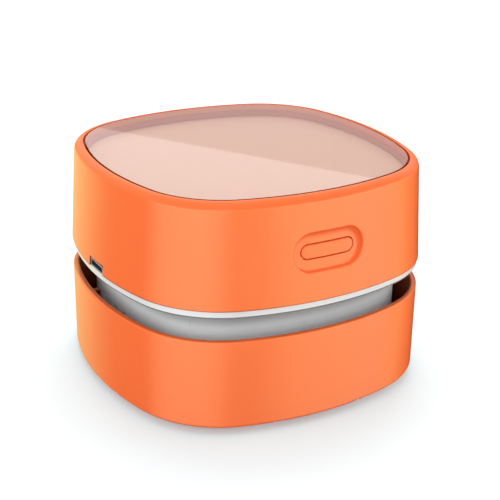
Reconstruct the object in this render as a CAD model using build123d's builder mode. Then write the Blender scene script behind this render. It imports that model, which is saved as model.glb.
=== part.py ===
"""Desktop mini vacuum cleaner: a drafted head that stands in an open dust bin.

Millimetres, +Z up, origin on the table under the middle of the body.
-Y is the front with the power button, -X is the side with the charging port.
"""
from build123d import *
from math import atan2, cos, degrees, radians, sin, sqrt, tan
import os

os.makedirs("parts", exist_ok=True)

# ---------------------------------------------------------------- driving dimensions
# Plan outline: four broad side arcs joined by four tangent corner arcs
half_width = 42.5
side_radius = 77.3
corner_radius = 25.9

# Heights of the visible bands
ground_clearance = 2.0
bin_height = 23.1
air_gap = 6.1
ring_thickness = 1.5
housing_height = 25.7

# Gaps between pieces
fit_gap = 0.1        # loose fit between pieces of one body
slide_gap = 0.3      # between pieces that move past each other
seat_gap = 0.2       # under a piece that stands on another body
running_gap = 0.05   # around the motor shaft and the switch plunger

# Dust bin
bin_wall = 1.6
bin_floor = 1.8
bin_round = 0.85
rim_round = 0.6
chamber_wall = 1.6
chamber_height = 5.9
inlet_length = 30.0
inlet_width = 14.0
chimney_wall = 1.2
chimney_height = 4.7
guide_rib_width = 1.4
guide_rib_spacing = 28.0
guide_rib_height = 16.2

# Brush under the inlet
holder_length = 46.0
holder_width = 30.0
duct_flange = 1.4
boss_cover = 1.0
holder_margin = 2.0
holder_screw_spacing = 38.4
tuft_count = 8
tuft_pitch = 3.4
tuft_row_spacing = 21.0
tuft_radius = 0.6
tuft_tip_radius = 0.95
tuft_root = 1.0
tuft_lift = 0.3

# Glide pads
pad_radius = 4.0
pad_pocket = 0.6
pad_spacing = 52.0

# Chassis (the neck) and the fan base inside it
neck_inset = 6.0
neck_wall = 1.5
neck_floor = 1.4
shoulder_inset = 3.2
shoulder_thickness = 0.8
cove_radius = 1.8
vent_count = 7
vent_pitch = 5.0
vent_width = 2.4
vent_height = 6.4
vent_lift = 1.8
filter_wall = 1.4
filter_well_radius = 29.0
chamber_margin = 2.0        # of the dust chamber's radius over the filter well's
filter_well_depth = 6.2
fan_floor = 1.4
eye_radius = 11.0
eye_round = 0.5
column_radius = 3.0
column_depth = 5.0          # of a screw tower's centre behind the neck's outer face
column_y = 18.0
column_seat_height = 11.0
column_seat = 1.6           # thickness under each housing screw's head
cover_post_radius = 2.4
cover_post_margin = 1.1     # of a post's centre outside the filter well's wall
cover_post_angle = 45.0     # of the first post from the body's X axis

# Seal between head and bin
seal_thickness = 1.5
seal_margin = 0.1

# Trim ring
ring_inset = 0.34
upstand_height = 1.5
upstand_wall = 1.2

# Filter
filter_rim = 1.4
filter_height = 3.9
filter_spokes = 8
spoke_width = 1.4
spoke_depth = 1.6
filter_hub_radius = 5.0
mesh_thickness = 0.5
tab_length = 12.0
tab_thickness = 1.6
tab_height = 1.5

# Impeller, diffuser and motor
impeller_radius = 22.0
impeller_disc = 1.0
impeller_height = 5.5
impeller_floor_gap = 0.4
impeller_cover_gap = 0.5
impeller_hub_radius = 4.0
blade_count = 9
blade_inner_radius = 9.5
blade_arc_radius = 17.0
blade_thickness = 1.0
vane_count = 12
vane_inner_radius = 23.6
vane_outer_radius = 27.4
vane_thickness = 1.0
cover_radius = 28.4
cover_thickness = 1.4
collar_wall = 1.4
collar_height = 3.2
shaft_radius = 1.0
motor_radius = 10.05
motor_flat = 15.1
motor_round = 0.5
can_length = 22.1
endcap_length = 3.0
bearing_radius = 3.1
bearing_height = 1.2
sleeve_wall = 1.45
sleeve_length = 17.0
terminal_width = 2.0
terminal_length = 1.4
terminal_thickness = 0.5

# Mid plate that closes the fan chamber and carries the electrics
plate_thickness = 1.8

# Upper housing
housing_wall = 1.8
housing_draft = 3.5
top_round = 2.1
boss_radius = 3.0
gusset_thickness = 1.2
rail_thickness = 2.4
rail_groove = 1.2

# Clear window over the sunk top deck
window_inset = 4.4
window_gap = 0.6             # open seam around the window
window_thickness = 1.6
window_sink = 0.0            # 0 sets the window flush with the rim around it
ledge_width = 0.5
deck_depth = 3.3
deck_thickness = 0.8
deck_floor = 1.2

# Power button and its switch
button_length = 14.1
button_height = 3.4
button_above_edge = 12.1
button_sunk = 0.85   # of its face below the housing's skin, just proud of the recess floor
button_gap = 0.3
button_round = 0.25
button_flange_margin = 1.6
button_flange = 0.9
button_travel = 0.8
stem_radius = 1.5
stem_length = 2.1
recess_length = 18.8
recess_height = 9.5
recess_depth = 1.0
recess_round = 0.42
plunger_radius = 1.6
plunger_length = 1.8
plunger_engaged = 0.6
switch_size = 6.2
switch_depth = 3.2
board_thickness = 1.0
switch_board_width = 21.0
switch_board_height = 13.5

# Charging port and its board
port_shift = -2.0
port_width = 8.0
port_height = 2.6
usb_width = 7.5
usb_height = 2.15
usb_depth = 5.6
usb_shell = 0.35
usb_setback = 0.35
charge_board_width = 17.0
charge_board_depth = 9.6
board_post_radius = 1.5
board_post_inset = 3.0
board_post_spacing = 13.4
chip_length = 4.9
chip_width = 3.9
chip_height = 1.4
coil_radius = 2.1
coil_height = 2.0
parts_pitch = 5.8

# Battery
battery_radius = 7.1
battery_length = 50.0
battery_gap = 1.8           # between the cell and the housing's back wall, at the cell's ends
cradle_floor = 1.4
cradle_width = 12.0
cradle_height = 5.0
cradle_end_wall = 1.5
cradle_end_height = 12.0
contact_thickness = 0.4
contact_size = 8.0
contact_bump_radius = 2.4
contact_bump = 0.3

# Screws
screw_radius = 1.0
screw_head_radius = 1.9
screw_head_height = 1.3
housing_screw_length = 15.0
cover_screw_length = 6.5
small_screw_radius = 0.8
small_head_radius = 1.5
small_head_height = 0.9
small_screw_length = 4.6
cross_width = 0.45
cross_depth = 0.6

# Leads
lead_radius = 0.55
lead_bend = 1.6
lead_drop = 2.4             # of the battery leads' upper runs below the housing's ceiling
lead_dip = 6.0              # of the second lead's run where it passes under the first
lead_aisle = 4.0            # of the battery leads' long runs inside their contacts
lead_room = 0.45
solder_pitch = 8.0
motor_lead_run = 13.0
motor_lead_slope = 7.0
motor_lead_drop = 4.0
motor_lead_pitch = 12.0

# ---------------------------------------------------------------- levels and places
bin_bottom = ground_clearance
bin_floor_top = bin_bottom + bin_floor
bin_rim = bin_bottom + bin_height
ring_bottom = bin_rim + air_gap
housing_bottom = ring_bottom + ring_thickness
housing_top = housing_bottom + housing_height

side_offset = side_radius - half_width
arc_centre_gap = side_radius - corner_radius
corner_offset = (sqrt(2 * arc_centre_gap**2 - side_offset**2) - side_offset) / 2
side_span = 2 * degrees(atan2(corner_offset, corner_offset + side_offset))

chamber_radius = filter_well_radius + chamber_margin
chamber_top = bin_floor_top + chamber_height
neck_bottom = chamber_top + seat_gap + seal_thickness
neck_floor_top = neck_bottom + neck_floor
well_top = neck_bottom + filter_well_depth
fan_floor_top = well_top + fan_floor
cover_bottom = fan_floor_top + impeller_floor_gap + impeller_height + impeller_cover_gap
motor_bottom = cover_bottom + cover_thickness
can_top = motor_bottom + can_length
endcap_top = can_top + endcap_length
plate_bottom = housing_bottom - plate_thickness
neck_inner_inset = neck_inset + neck_wall
sleeve_radius = motor_radius + sleeve_wall

deck_top = housing_top - deck_depth
cavity_top = deck_top - deck_thickness - deck_floor
ledge_z = housing_top - window_sink - window_thickness
deck_inset = window_inset + ledge_width

button_z = housing_bottom + button_above_edge
front_plane = Plane(origin=(0, 0, button_z), x_dir=(1, 0, 0), z_dir=(0, -1, 0))

column_seat_z = neck_bottom + column_seat_height
lug_bottom = column_seat_z + column_seat
battery_z = housing_bottom + cradle_floor + battery_radius
charge_board_z = housing_bottom + fit_gap + usb_height


def side_reach(inset, across=0.0):
    """Distance from the middle to the body's side, at the place `across` from that side's centre line."""
    if across > (side_radius - inset) * sin(radians(side_span / 2)):
        return sqrt((corner_radius - inset) ** 2 - (across - corner_offset) ** 2) + corner_offset
    return sqrt((side_radius - inset) ** 2 - across**2) - side_offset


def draft_inset(z):
    """How far the housing's drafted skin stands in from the widest outline at height z."""
    return (z - housing_bottom) * tan(radians(housing_draft))


column_x = side_reach(neck_inset, column_y) - column_depth
column_points = [(sx * column_x, sy * column_y) for sx in (-1, 1) for sy in (-1, 1)]
cover_post_reach = filter_well_radius + filter_wall + cover_post_margin
cover_post_angles = [cover_post_angle + turn for turn in (0, 90, 180, 270)]
cover_post_points = [
    (cover_post_reach * cos(radians(angle)), cover_post_reach * sin(radians(angle)))
    for angle in cover_post_angles
]
battery_back = side_reach(housing_wall + draft_inset(battery_z), battery_length / 2) - battery_gap
battery_y = battery_back - battery_radius


# ---------------------------------------------------------------- shared shapes
def arc_about(centre, radius, start, span):
    """Arc of `span` degrees about a centre, drawn through its ends and its middle."""
    ThreePointArc(*[centre + Vector(radius, 0).rotate(Axis.Z, start + part * span) for part in (0, 0.5, 1)])


def outline(z, inset=0.0):
    """The body's plan outline at height z, drawn `inset` inside the widest line."""
    with BuildSketch(Plane.XY.offset(z)) as plan:
        with BuildLine():
            for turn in (0, 90, 180, 270):
                side_centre = Vector(-side_offset, 0).rotate(Axis.Z, turn)
                corner_centre = Vector(corner_offset, corner_offset).rotate(Axis.Z, turn)
                arc_about(side_centre, side_radius - inset, turn - side_span / 2, side_span)
                arc_about(corner_centre, corner_radius - inset, turn + side_span / 2, 90 - side_span)
        make_face()
    return plan.sketch


def slab(bottom, top, inset, mode=Mode.ADD):
    """A straight-walled slice of the body between two heights."""
    extrude(outline(bottom, inset), amount=top - bottom, mode=mode)


def disc(radius, bottom, top, mode=Mode.ADD):
    """A round plate or bore on the body's middle axis between two heights."""
    with Locations((0, 0, bottom)):
        Cylinder(radius, top - bottom, align=(Align.CENTER, Align.CENTER, Align.MIN), mode=mode)


def drafted_form(inset, top):
    """Everything that lies `inset` or more within the housing's drafted skin, up to `top`."""
    with BuildPart() as form:
        loft([outline(housing_bottom, inset), outline(top, inset + draft_inset(top))])
    return form.part


def blade(inner_radius, outer_radius, arc_radius, thickness):
    """Plan of one curved blade, whose centre line is an arc between two radii."""
    reach = outer_radius - inner_radius
    lean = degrees(atan2(reach / 2, arc_radius))
    with BuildSketch() as plan:
        with BuildLine(mode=Mode.PRIVATE) as centre_line:
            CenterArc((inner_radius + reach / 2, -arc_radius), arc_radius, 90 - lean, 2 * lean)
        SlotArc(centre_line.line.edges()[0], thickness)
    return plan.sketch


def screw(shank_radius, length, head_radius, head_height, sunk=False):
    """Self-tapping screw, driven down: its head seat (or a sunk head's top) is at z = 0."""
    head_top = 0 if sunk else head_height
    sunk_head = [(head_radius, 0), (shank_radius, -head_height)]
    pan_head = [(head_radius, head_height), (head_radius, 0), (shank_radius, 0)]
    head = sunk_head if sunk else pan_head
    with BuildPart() as body:
        with BuildSketch(Plane.XZ):
            with BuildLine():
                tip = [(shank_radius, shank_radius - length), (0, -length)]
                Polyline((0, head_top), *head, *tip, close=True)
            make_face()
        revolve(axis=Axis.Z)
        with BuildSketch(Plane.XY.offset(head_top)):
            Rectangle(head_radius * 1.3, cross_width)
            Rectangle(cross_width, head_radius * 1.3)
        extrude(amount=-cross_depth, mode=Mode.SUBTRACT)
    return body.part


def lead(*points):
    """Insulated wire: straight runs joined by tangent bends."""
    with BuildPart() as wire:
        with BuildLine():
            route = FilletPolyline(*points, radius=lead_bend)
        with BuildSketch(Plane(origin=route @ 0, z_dir=route % 0)):
            Circle(lead_radius)
        sweep()
    return wire.part


def save(piece, name):
    piece.part.label = name
    export_step(piece.part, f"parts/{name}.step")


# ---------------------------------------------------------------- dust bin and what it carries
holder_screw_x = holder_screw_spacing / 2
sunk_head_angle = 2 * degrees(atan2(small_head_radius - small_screw_radius, small_head_height))

with BuildPart() as dust_bin:
    slab(bin_bottom, bin_rim, 0)
    fillet(dust_bin.edges().group_by(Axis.Z)[0], bin_round)
    slab(bin_floor_top, bin_rim, bin_wall, mode=Mode.SUBTRACT)
    fillet(dust_bin.edges().group_by(Axis.Z)[-1], rim_round)
    # guide ribs that centre the head's neck
    rib_inner = side_reach(neck_inset, (guide_rib_spacing - guide_rib_width) / 2) + slide_gap
    rib_outer = side_reach(bin_wall / 2, guide_rib_spacing / 2)
    with BuildSketch(Plane.XY.offset(bin_floor_top)):
        for turn in (0, 90, 180, 270):
            with Locations(Location((0, 0, 0), (0, 0, turn))):
                with Locations(((rib_inner + rib_outer) / 2, 0)):
                    with GridLocations(0, guide_rib_spacing, 1, 2):
                        Rectangle(rib_outer - rib_inner, guide_rib_width)
    extrude(amount=guide_rib_height)
    # openings in the floor
    with BuildSketch(Plane.XY.offset(bin_bottom)):
        SlotOverall(holder_length + 2 * fit_gap, holder_width + 2 * fit_gap)
    extrude(amount=bin_floor, mode=Mode.SUBTRACT)
    with BuildSketch(Plane.XY.offset(bin_bottom)):
        with GridLocations(pad_spacing, pad_spacing, 2, 2):
            Circle(pad_radius + fit_gap)
    extrude(amount=pad_pocket, mode=Mode.SUBTRACT)
save(dust_bin, "dust_bin")

with BuildPart() as chamber_ring:
    with BuildSketch(Plane.XY.offset(bin_floor_top)):
        Circle(chamber_radius + chamber_wall)
        Circle(chamber_radius, mode=Mode.SUBTRACT)
    extrude(amount=chamber_height)
    fillet(chamber_ring.edges().group_by(Axis.Z)[-1], chamber_wall / 4)
save(chamber_ring, "chamber_ring")

with BuildPart() as inlet_duct:
    # flange that covers the floor's opening, over the brush holder
    with BuildSketch(Plane.XY.offset(bin_floor_top)):
        SlotOverall(holder_length + 2 * holder_margin, holder_width + 2 * holder_margin)
    extrude(amount=duct_flange)
    # chimney that keeps dust from falling back out
    with BuildSketch(Plane.XY.offset(bin_floor_top)):
        SlotOverall(inlet_length + 2 * chimney_wall, inlet_width + 2 * chimney_wall)
    extrude(amount=chimney_height)
    fillet(inlet_duct.edges().group_by(Axis.Z)[-1], chimney_wall / 3)
    with BuildSketch(Plane.XY.offset(bin_floor_top)):
        with Locations((-holder_screw_x, 0), (holder_screw_x, 0)):
            Circle(boss_radius)
    extrude(amount=bin_bottom + small_screw_length + boss_cover - bin_floor_top)
    with BuildSketch(Plane.XY.offset(bin_floor_top)):
        SlotOverall(inlet_length, inlet_width)
    extrude(amount=chimney_height, mode=Mode.SUBTRACT)
    with Locations(
        Location((-holder_screw_x, 0, bin_floor_top), (180, 0, 0)),
        Location((holder_screw_x, 0, bin_floor_top), (180, 0, 0)),
    ):
        Hole(small_screw_radius + running_gap, depth=small_screw_length - bin_floor + fit_gap)
save(inlet_duct, "inlet_duct")

with BuildPart() as brush_holder:
    with BuildSketch(Plane.XY.offset(bin_bottom)):
        SlotOverall(holder_length, holder_width)
        SlotOverall(inlet_length, inlet_width, mode=Mode.SUBTRACT)
    extrude(amount=bin_floor)
    with BuildSketch(Plane.XY.offset(bin_bottom)):
        with GridLocations(tuft_pitch, tuft_row_spacing, tuft_count, 2):
            Circle(tuft_radius)
    extrude(amount=tuft_root, mode=Mode.SUBTRACT)
    with Locations(
        Location((-holder_screw_x, 0, bin_bottom), (180, 0, 0)),
        Location((holder_screw_x, 0, bin_bottom), (180, 0, 0)),
    ):
        CounterSinkHole(
            small_screw_radius + running_gap,
            small_head_radius + running_gap,
            counter_sink_angle=sunk_head_angle,
        )
save(brush_holder, "brush_holder")

with BuildPart() as brush_bristles:
    with GridLocations(tuft_pitch, tuft_row_spacing, tuft_count, 2):
        with Locations((0, 0, tuft_lift)):
            Cone(
                tuft_tip_radius,
                tuft_radius,
                bin_bottom - tuft_lift,
                align=(Align.CENTER, Align.CENTER, Align.MIN),
            )
        with Locations((0, 0, bin_bottom)):
            Cylinder(tuft_radius, tuft_root, align=(Align.CENTER, Align.CENTER, Align.MIN))
save(brush_bristles, "brush_bristles")

with BuildPart() as brush_screws:
    with Locations((-holder_screw_x, 0, bin_bottom), (holder_screw_x, 0, bin_bottom)):
        add(
            screw(small_screw_radius, small_screw_length, small_head_radius, small_head_height, sunk=True),
            rotation=(180, 0, 0),
        )
save(brush_screws, "brush_screws")

with BuildPart() as glide_pads:
    with GridLocations(pad_spacing, pad_spacing, 2, 2):
        Cylinder(pad_radius, bin_bottom + pad_pocket, align=(Align.CENTER, Align.CENTER, Align.MIN))
    fillet(glide_pads.edges().group_by(Axis.Z)[0], pad_pocket)
save(glide_pads, "glide_pads")

# ---------------------------------------------------------------- chassis, ring, seal
with BuildPart() as chassis:
    slab(neck_bottom, housing_bottom, neck_inset)
    slab(ring_bottom - shoulder_thickness, ring_bottom, shoulder_inset)
    cove_edges = [
        edge
        for edge in chassis.edges().filter_by(GeomType.CIRCLE)
        if abs(edge.center().Z - (ring_bottom - shoulder_thickness)) < 0.01
        and min(abs(edge.radius - radius + neck_inset) for radius in (side_radius, corner_radius)) < 0.01
    ]
    fillet(cove_edges, cove_radius)
    slab(neck_bottom, housing_bottom, neck_inner_inset, mode=Mode.SUBTRACT)
    # exhaust vents on all four sides of the neck, below the bin's rim
    for plane in (Plane.XZ, Plane.YZ):
        with BuildSketch(plane.shift_origin((0, 0, neck_floor_top + vent_lift + vent_height / 2))):
            with GridLocations(vent_pitch, 0, vent_count, 1):
                SlotOverall(vent_height, vent_width, rotation=90)
        extrude(amount=half_width, both=True, mode=Mode.SUBTRACT)
    # lugs on the wall that the housing screws clamp
    with BuildSketch(Plane.XY.offset(lug_bottom)):
        with Locations(*column_points):
            Circle(column_radius)
        for x, y in column_points:
            with Locations((x + (column_depth / 2 if x > 0 else -column_depth / 2), y)):
                Rectangle(column_depth, 2 * column_radius)
        add(outline(0, neck_inset + neck_wall / 2), mode=Mode.INTERSECT)
    extrude(amount=plate_bottom - lug_bottom)
    with Locations(*[(x, y, plate_bottom) for x, y in column_points]):
        Hole(screw_radius + fit_gap)
save(chassis, "chassis")

with BuildPart() as fan_base:
    # floor that closes the neck from below
    slab(neck_bottom, neck_floor_top, neck_inner_inset + fit_gap)
    # screw towers, cut back where they would meet the neck's wall, and posts for the fan cover
    with BuildSketch(Plane.XY.offset(neck_bottom)):
        with Locations(*column_points):
            Circle(column_radius)
        add(outline(0, neck_inner_inset + fit_gap), mode=Mode.INTERSECT)
    extrude(amount=lug_bottom - neck_bottom)
    with BuildSketch(Plane.XY.offset(neck_bottom)):
        with Locations(*cover_post_points):
            Circle(cover_post_radius)
    extrude(amount=cover_bottom - neck_bottom)
    # filter well with the fan floor above it, whose suction eye has rounded lips
    disc(filter_well_radius, neck_bottom, well_top, mode=Mode.SUBTRACT)
    with BuildSketch(Plane.XZ) as well_section:
        with BuildLine():
            Polyline(
                (filter_well_radius, neck_bottom),
                (filter_well_radius + filter_wall, neck_bottom),
                (filter_well_radius + filter_wall, fan_floor_top),
                (eye_radius, fan_floor_top),
                (eye_radius, well_top),
                (filter_well_radius, well_top),
                close=True,
            )
        make_face()
        fillet(well_section.vertices().group_by(Axis.X)[0], eye_round)
    revolve(axis=Axis.Z)
    with Locations(*[Location((x, y, neck_bottom), (180, 0, 0)) for x, y in column_points]):
        CounterBoreHole(
            screw_radius + fit_gap,
            screw_head_radius + fit_gap,
            column_seat_height,
            depth=lug_bottom - neck_bottom,
        )
    with Locations(*[(x, y, cover_bottom) for x, y in cover_post_points]):
        Hole(small_screw_radius + running_gap, depth=cover_screw_length)
save(fan_base, "fan_base")

with BuildPart() as seal_ring:
    with BuildSketch(Plane.XY.offset(neck_bottom - seal_thickness)):
        Circle(chamber_radius + chamber_wall + seal_margin)
        Circle(chamber_radius - seal_margin, mode=Mode.SUBTRACT)
    extrude(amount=seal_thickness)
save(seal_ring, "seal_ring")

upstand_inset = housing_wall + draft_inset(housing_bottom + upstand_height) + fit_gap
with BuildPart() as trim_ring:
    slab(ring_bottom, housing_bottom, ring_inset)
    slab(housing_bottom, housing_bottom + upstand_height, upstand_inset)
    slab(ring_bottom, housing_bottom, neck_inset - fit_gap, mode=Mode.SUBTRACT)
    slab(housing_bottom, housing_bottom + upstand_height, upstand_inset + upstand_wall, mode=Mode.SUBTRACT)
    with Locations((-half_width, port_shift, housing_bottom)):
        Box(
            2 * neck_inset,
            port_width,
            upstand_height,
            align=(Align.CENTER, Align.CENTER, Align.MIN),
            mode=Mode.SUBTRACT,
        )
save(trim_ring, "trim_ring")

# ---------------------------------------------------------------- filter
filter_top = well_top - slide_gap
filter_bottom = filter_top - filter_height
filter_radius = filter_well_radius - slide_gap

with BuildPart() as filter_frame:
    with BuildSketch(Plane.XY.offset(filter_bottom)):
        Circle(filter_radius)
        Circle(filter_radius - filter_rim, mode=Mode.SUBTRACT)
    extrude(amount=filter_height)
    with BuildSketch(Plane.XY.offset(filter_bottom)):
        Circle(filter_hub_radius)
        with PolarLocations((filter_radius - filter_rim / 2) / 2, filter_spokes):
            Rectangle(filter_radius - filter_rim / 2, spoke_width)
    extrude(amount=spoke_depth)
    with Locations((0, 0, filter_bottom)):
        Box(tab_length, tab_thickness, tab_height, align=(Align.CENTER, Align.CENTER, Align.MAX))
save(filter_frame, "filter_frame")

with BuildPart() as filter_mesh:
    mesh_bottom = filter_bottom + spoke_depth
    disc(filter_radius - filter_rim - running_gap, mesh_bottom, mesh_bottom + mesh_thickness)
save(filter_mesh, "filter_mesh")

# ---------------------------------------------------------------- impeller, diffuser and motor
impeller_bottom = fan_floor_top + impeller_floor_gap
impeller_top = impeller_bottom + impeller_height

with BuildPart() as impeller:
    disc(impeller_radius, impeller_top - impeller_disc, impeller_top)
    disc(impeller_hub_radius, impeller_bottom, impeller_top)
    blade_outer_radius = impeller_radius - blade_thickness
    impeller_blade = blade(blade_inner_radius, blade_outer_radius, blade_arc_radius, blade_thickness)
    with BuildSketch(Plane.XY.offset(impeller_bottom)):
        with PolarLocations(0, blade_count):
            add(impeller_blade)
    extrude(amount=impeller_height - impeller_disc)
    disc(shaft_radius, impeller_bottom, impeller_top, mode=Mode.SUBTRACT)
save(impeller, "impeller")

with BuildPart() as motor_shaft:
    disc(shaft_radius, impeller_bottom, can_top - slide_gap)
save(motor_shaft, "motor_shaft")

with BuildPart() as fan_cover:
    with BuildSketch(Plane.XY.offset(cover_bottom)):
        Circle(cover_radius)
        with Locations(*cover_post_points):
            Circle(cover_post_radius)
        for angle in cover_post_angles[:2]:
            Rectangle(2 * cover_post_reach, 2 * cover_post_radius, rotation=angle)
        with Locations(*cover_post_points):
            Circle(small_screw_radius + fit_gap, mode=Mode.SUBTRACT)
    extrude(amount=cover_thickness)
    diffuser_vane = blade(vane_inner_radius, vane_outer_radius, blade_arc_radius, vane_thickness)
    with BuildSketch(Plane.XY.offset(fan_floor_top)):
        with PolarLocations(0, vane_count):
            add(diffuser_vane)
    extrude(amount=cover_bottom - fan_floor_top)
    with BuildSketch(Plane.XY.offset(motor_bottom)):
        Circle(sleeve_radius + collar_wall)
        Circle(sleeve_radius + running_gap, mode=Mode.SUBTRACT)
    extrude(amount=collar_height)
    disc(bearing_radius + fit_gap, cover_bottom, motor_bottom, mode=Mode.SUBTRACT)
save(fan_cover, "fan_cover")

with BuildPart() as cover_screws:
    with Locations(*[(x, y, motor_bottom) for x, y in cover_post_points]):
        add(screw(small_screw_radius, cover_screw_length, small_head_radius, small_head_height))
save(cover_screws, "cover_screws")


def motor_section(z):
    """Round motor can with two flats."""
    with BuildSketch(Plane.XY.offset(z)) as section_plan:
        Circle(motor_radius)
        Rectangle(motor_flat, 2 * motor_radius, mode=Mode.INTERSECT)
    return section_plan.sketch


with BuildPart() as motor_can:
    extrude(motor_section(motor_bottom), amount=can_length)
    fillet(motor_can.edges().group_by(Axis.Z)[0], motor_round)
    disc(bearing_radius, motor_bottom - bearing_height, motor_bottom)
    disc(shaft_radius + running_gap, motor_bottom - bearing_height, can_top, mode=Mode.SUBTRACT)
save(motor_can, "motor_can")

with BuildPart() as motor_endcap:
    extrude(motor_section(can_top), amount=endcap_length)
    fillet(motor_endcap.edges().group_by(Axis.Z)[-1], motor_round)
save(motor_endcap, "motor_endcap")

terminal_x = motor_flat / 2 + terminal_length / 2
terminal_z = can_top + endcap_length / 2
with BuildPart() as motor_terminals:
    with Locations((-terminal_x, 0, terminal_z), (terminal_x, 0, terminal_z)):
        Box(terminal_length, terminal_width, terminal_thickness)
save(motor_terminals, "motor_terminals")

with BuildPart() as motor_sleeve:
    disc(sleeve_radius, motor_bottom, motor_bottom + sleeve_length)
    extrude(motor_section(motor_bottom), amount=sleeve_length, mode=Mode.SUBTRACT)
save(motor_sleeve, "motor_sleeve")

# ---------------------------------------------------------------- mid plate and electrics
board_outer_x = side_reach(
    housing_wall + draft_inset(charge_board_z + board_thickness), charge_board_width / 2 - port_shift
) - slide_gap
board_inner_x = board_outer_x - charge_board_depth
post_x = board_inner_x + board_post_inset
post_points = [(-post_x, port_shift - board_post_spacing / 2), (-post_x, port_shift + board_post_spacing / 2)]

with BuildPart() as mid_plate:
    slab(plate_bottom, housing_bottom, neck_inner_inset + fit_gap)
    with BuildSketch(Plane.XY.offset(housing_bottom)):
        with Locations(*post_points):
            Circle(board_post_radius)
    extrude(amount=charge_board_z - housing_bottom)
    disc(sleeve_radius + fit_gap, plate_bottom, housing_bottom, mode=Mode.SUBTRACT)
    with Locations(*[(x, y, housing_bottom) for x, y in column_points]):
        Hole(screw_radius + fit_gap)
    with Locations(*[(x, y, charge_board_z) for x, y in post_points]):
        Hole(small_screw_radius + running_gap)
save(mid_plate, "mid_plate")

with BuildPart() as housing_screws:
    with Locations(*[(x, y, column_seat_z) for x, y in column_points]):
        add(
            screw(screw_radius, housing_screw_length, screw_head_radius, screw_head_height),
            rotation=(180, 0, 0),
        )
save(housing_screws, "housing_screws")

usb_face_x = side_reach(0, port_shift) - usb_setback
usb_z = charge_board_z - usb_height / 2
with BuildPart() as usb_socket:
    with Locations((-usb_face_x, port_shift, usb_z)):
        Box(usb_depth, usb_width, usb_height, align=(Align.MIN, Align.CENTER, Align.CENTER))
        fillet(usb_socket.edges().filter_by(Axis.X), usb_shell)
        Box(
            usb_depth - usb_shell,
            usb_width - 2 * usb_shell,
            usb_height - 2 * usb_shell,
            align=(Align.MIN, Align.CENTER, Align.CENTER),
            mode=Mode.SUBTRACT,
        )
save(usb_socket, "usb_socket")

tongue_thickness = (usb_height - 2 * usb_shell) / 3
with BuildPart() as usb_tongue:
    with Locations((-usb_face_x + usb_depth - usb_shell, port_shift, usb_z)):
        Box(
            usb_depth - 3 * usb_shell,
            usb_width - 6 * usb_shell,
            tongue_thickness,
            align=(Align.MAX, Align.CENTER, Align.CENTER),
        )
save(usb_tongue, "usb_tongue")

with BuildPart() as charge_board:
    with Locations((-board_inner_x, port_shift, charge_board_z)):
        Box(
            charge_board_depth,
            charge_board_width,
            board_thickness,
            align=(Align.MAX, Align.CENTER, Align.MIN),
        )
    with Locations(*[(x, y, charge_board_z + board_thickness) for x, y in post_points]):
        Hole(small_screw_radius + fit_gap)
save(charge_board, "charge_board")

with BuildPart() as board_screws:
    with Locations(*[(x, y, charge_board_z + board_thickness) for x, y in post_points]):
        add(screw(small_screw_radius, small_screw_length, small_head_radius, small_head_height))
save(board_screws, "board_screws")

# chip and coil on the charge board
parts_x = board_inner_x + charge_board_depth - board_post_inset - fit_gap
with BuildPart() as board_parts:
    with Locations((-parts_x, port_shift - parts_pitch / 2, charge_board_z + board_thickness)):
        Box(chip_width, chip_length, chip_height, align=(Align.CENTER, Align.CENTER, Align.MIN))
    with Locations((-parts_x, port_shift + parts_pitch / 2, charge_board_z + board_thickness)):
        Cylinder(coil_radius, coil_height, align=(Align.CENTER, Align.CENTER, Align.MIN))
save(board_parts, "board_parts")

# ---------------------------------------------------------------- battery
contact_x = battery_length / 2 + contact_bump
end_wall_x = contact_x + contact_thickness
cradle_half = end_wall_x + cradle_end_wall

with BuildPart() as battery_cradle:
    with Locations((0, battery_y, housing_bottom)):
        Box(2 * cradle_half, cradle_width, cradle_height, align=(Align.CENTER, Align.CENTER, Align.MIN))
    with Locations((-cradle_half, battery_y, housing_bottom), (end_wall_x, battery_y, housing_bottom)):
        Box(
            cradle_end_wall,
            cradle_width,
            cradle_end_height,
            align=(Align.MIN, Align.CENTER, Align.MIN),
        )
    with BuildSketch(Plane.YZ.shift_origin((0, battery_y, battery_z))):
        Circle(battery_radius + running_gap)
    extrude(amount=end_wall_x, both=True, mode=Mode.SUBTRACT)
save(battery_cradle, "battery_cradle")

with BuildPart() as battery_cell:
    with BuildSketch(Plane.YZ.shift_origin((0, battery_y, battery_z))):
        Circle(battery_radius)
    extrude(amount=battery_length / 2, both=True)
    fillet(battery_cell.edges().filter_by(GeomType.CIRCLE), contact_thickness)
save(battery_cell, "battery_cell")

with BuildPart() as battery_contacts:
    for side in (-1, 1):
        with Locations((side * (contact_x + contact_thickness / 2), battery_y, battery_z)):
            Box(contact_thickness, contact_size, contact_size)
        cell_end = Plane(origin=(side * battery_length / 2, battery_y, battery_z), z_dir=(side, 0, 0))
        with BuildSketch(cell_end):
            Circle(contact_bump_radius)
        extrude(amount=contact_bump)
save(battery_contacts, "battery_contacts")

# ---------------------------------------------------------------- power button and switch
wall_face = side_reach(draft_inset(button_z))
flange_front = wall_face - housing_wall - slide_gap / 2
flange_back = flange_front - button_flange
stem_back = flange_back - stem_length
plunger_back = stem_back - plunger_length
switch_front = plunger_back + plunger_engaged
switch_back = switch_front - switch_depth
board_back = switch_back - board_thickness


def front_pill(length, height, from_y, to_y):
    """A full-round pill on the front, between two distances forward of the middle."""
    with BuildPart() as pill:
        with BuildSketch(front_plane.offset(from_y)):
            SlotOverall(length, height)
        extrude(amount=to_y - from_y)
    return pill.part


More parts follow.
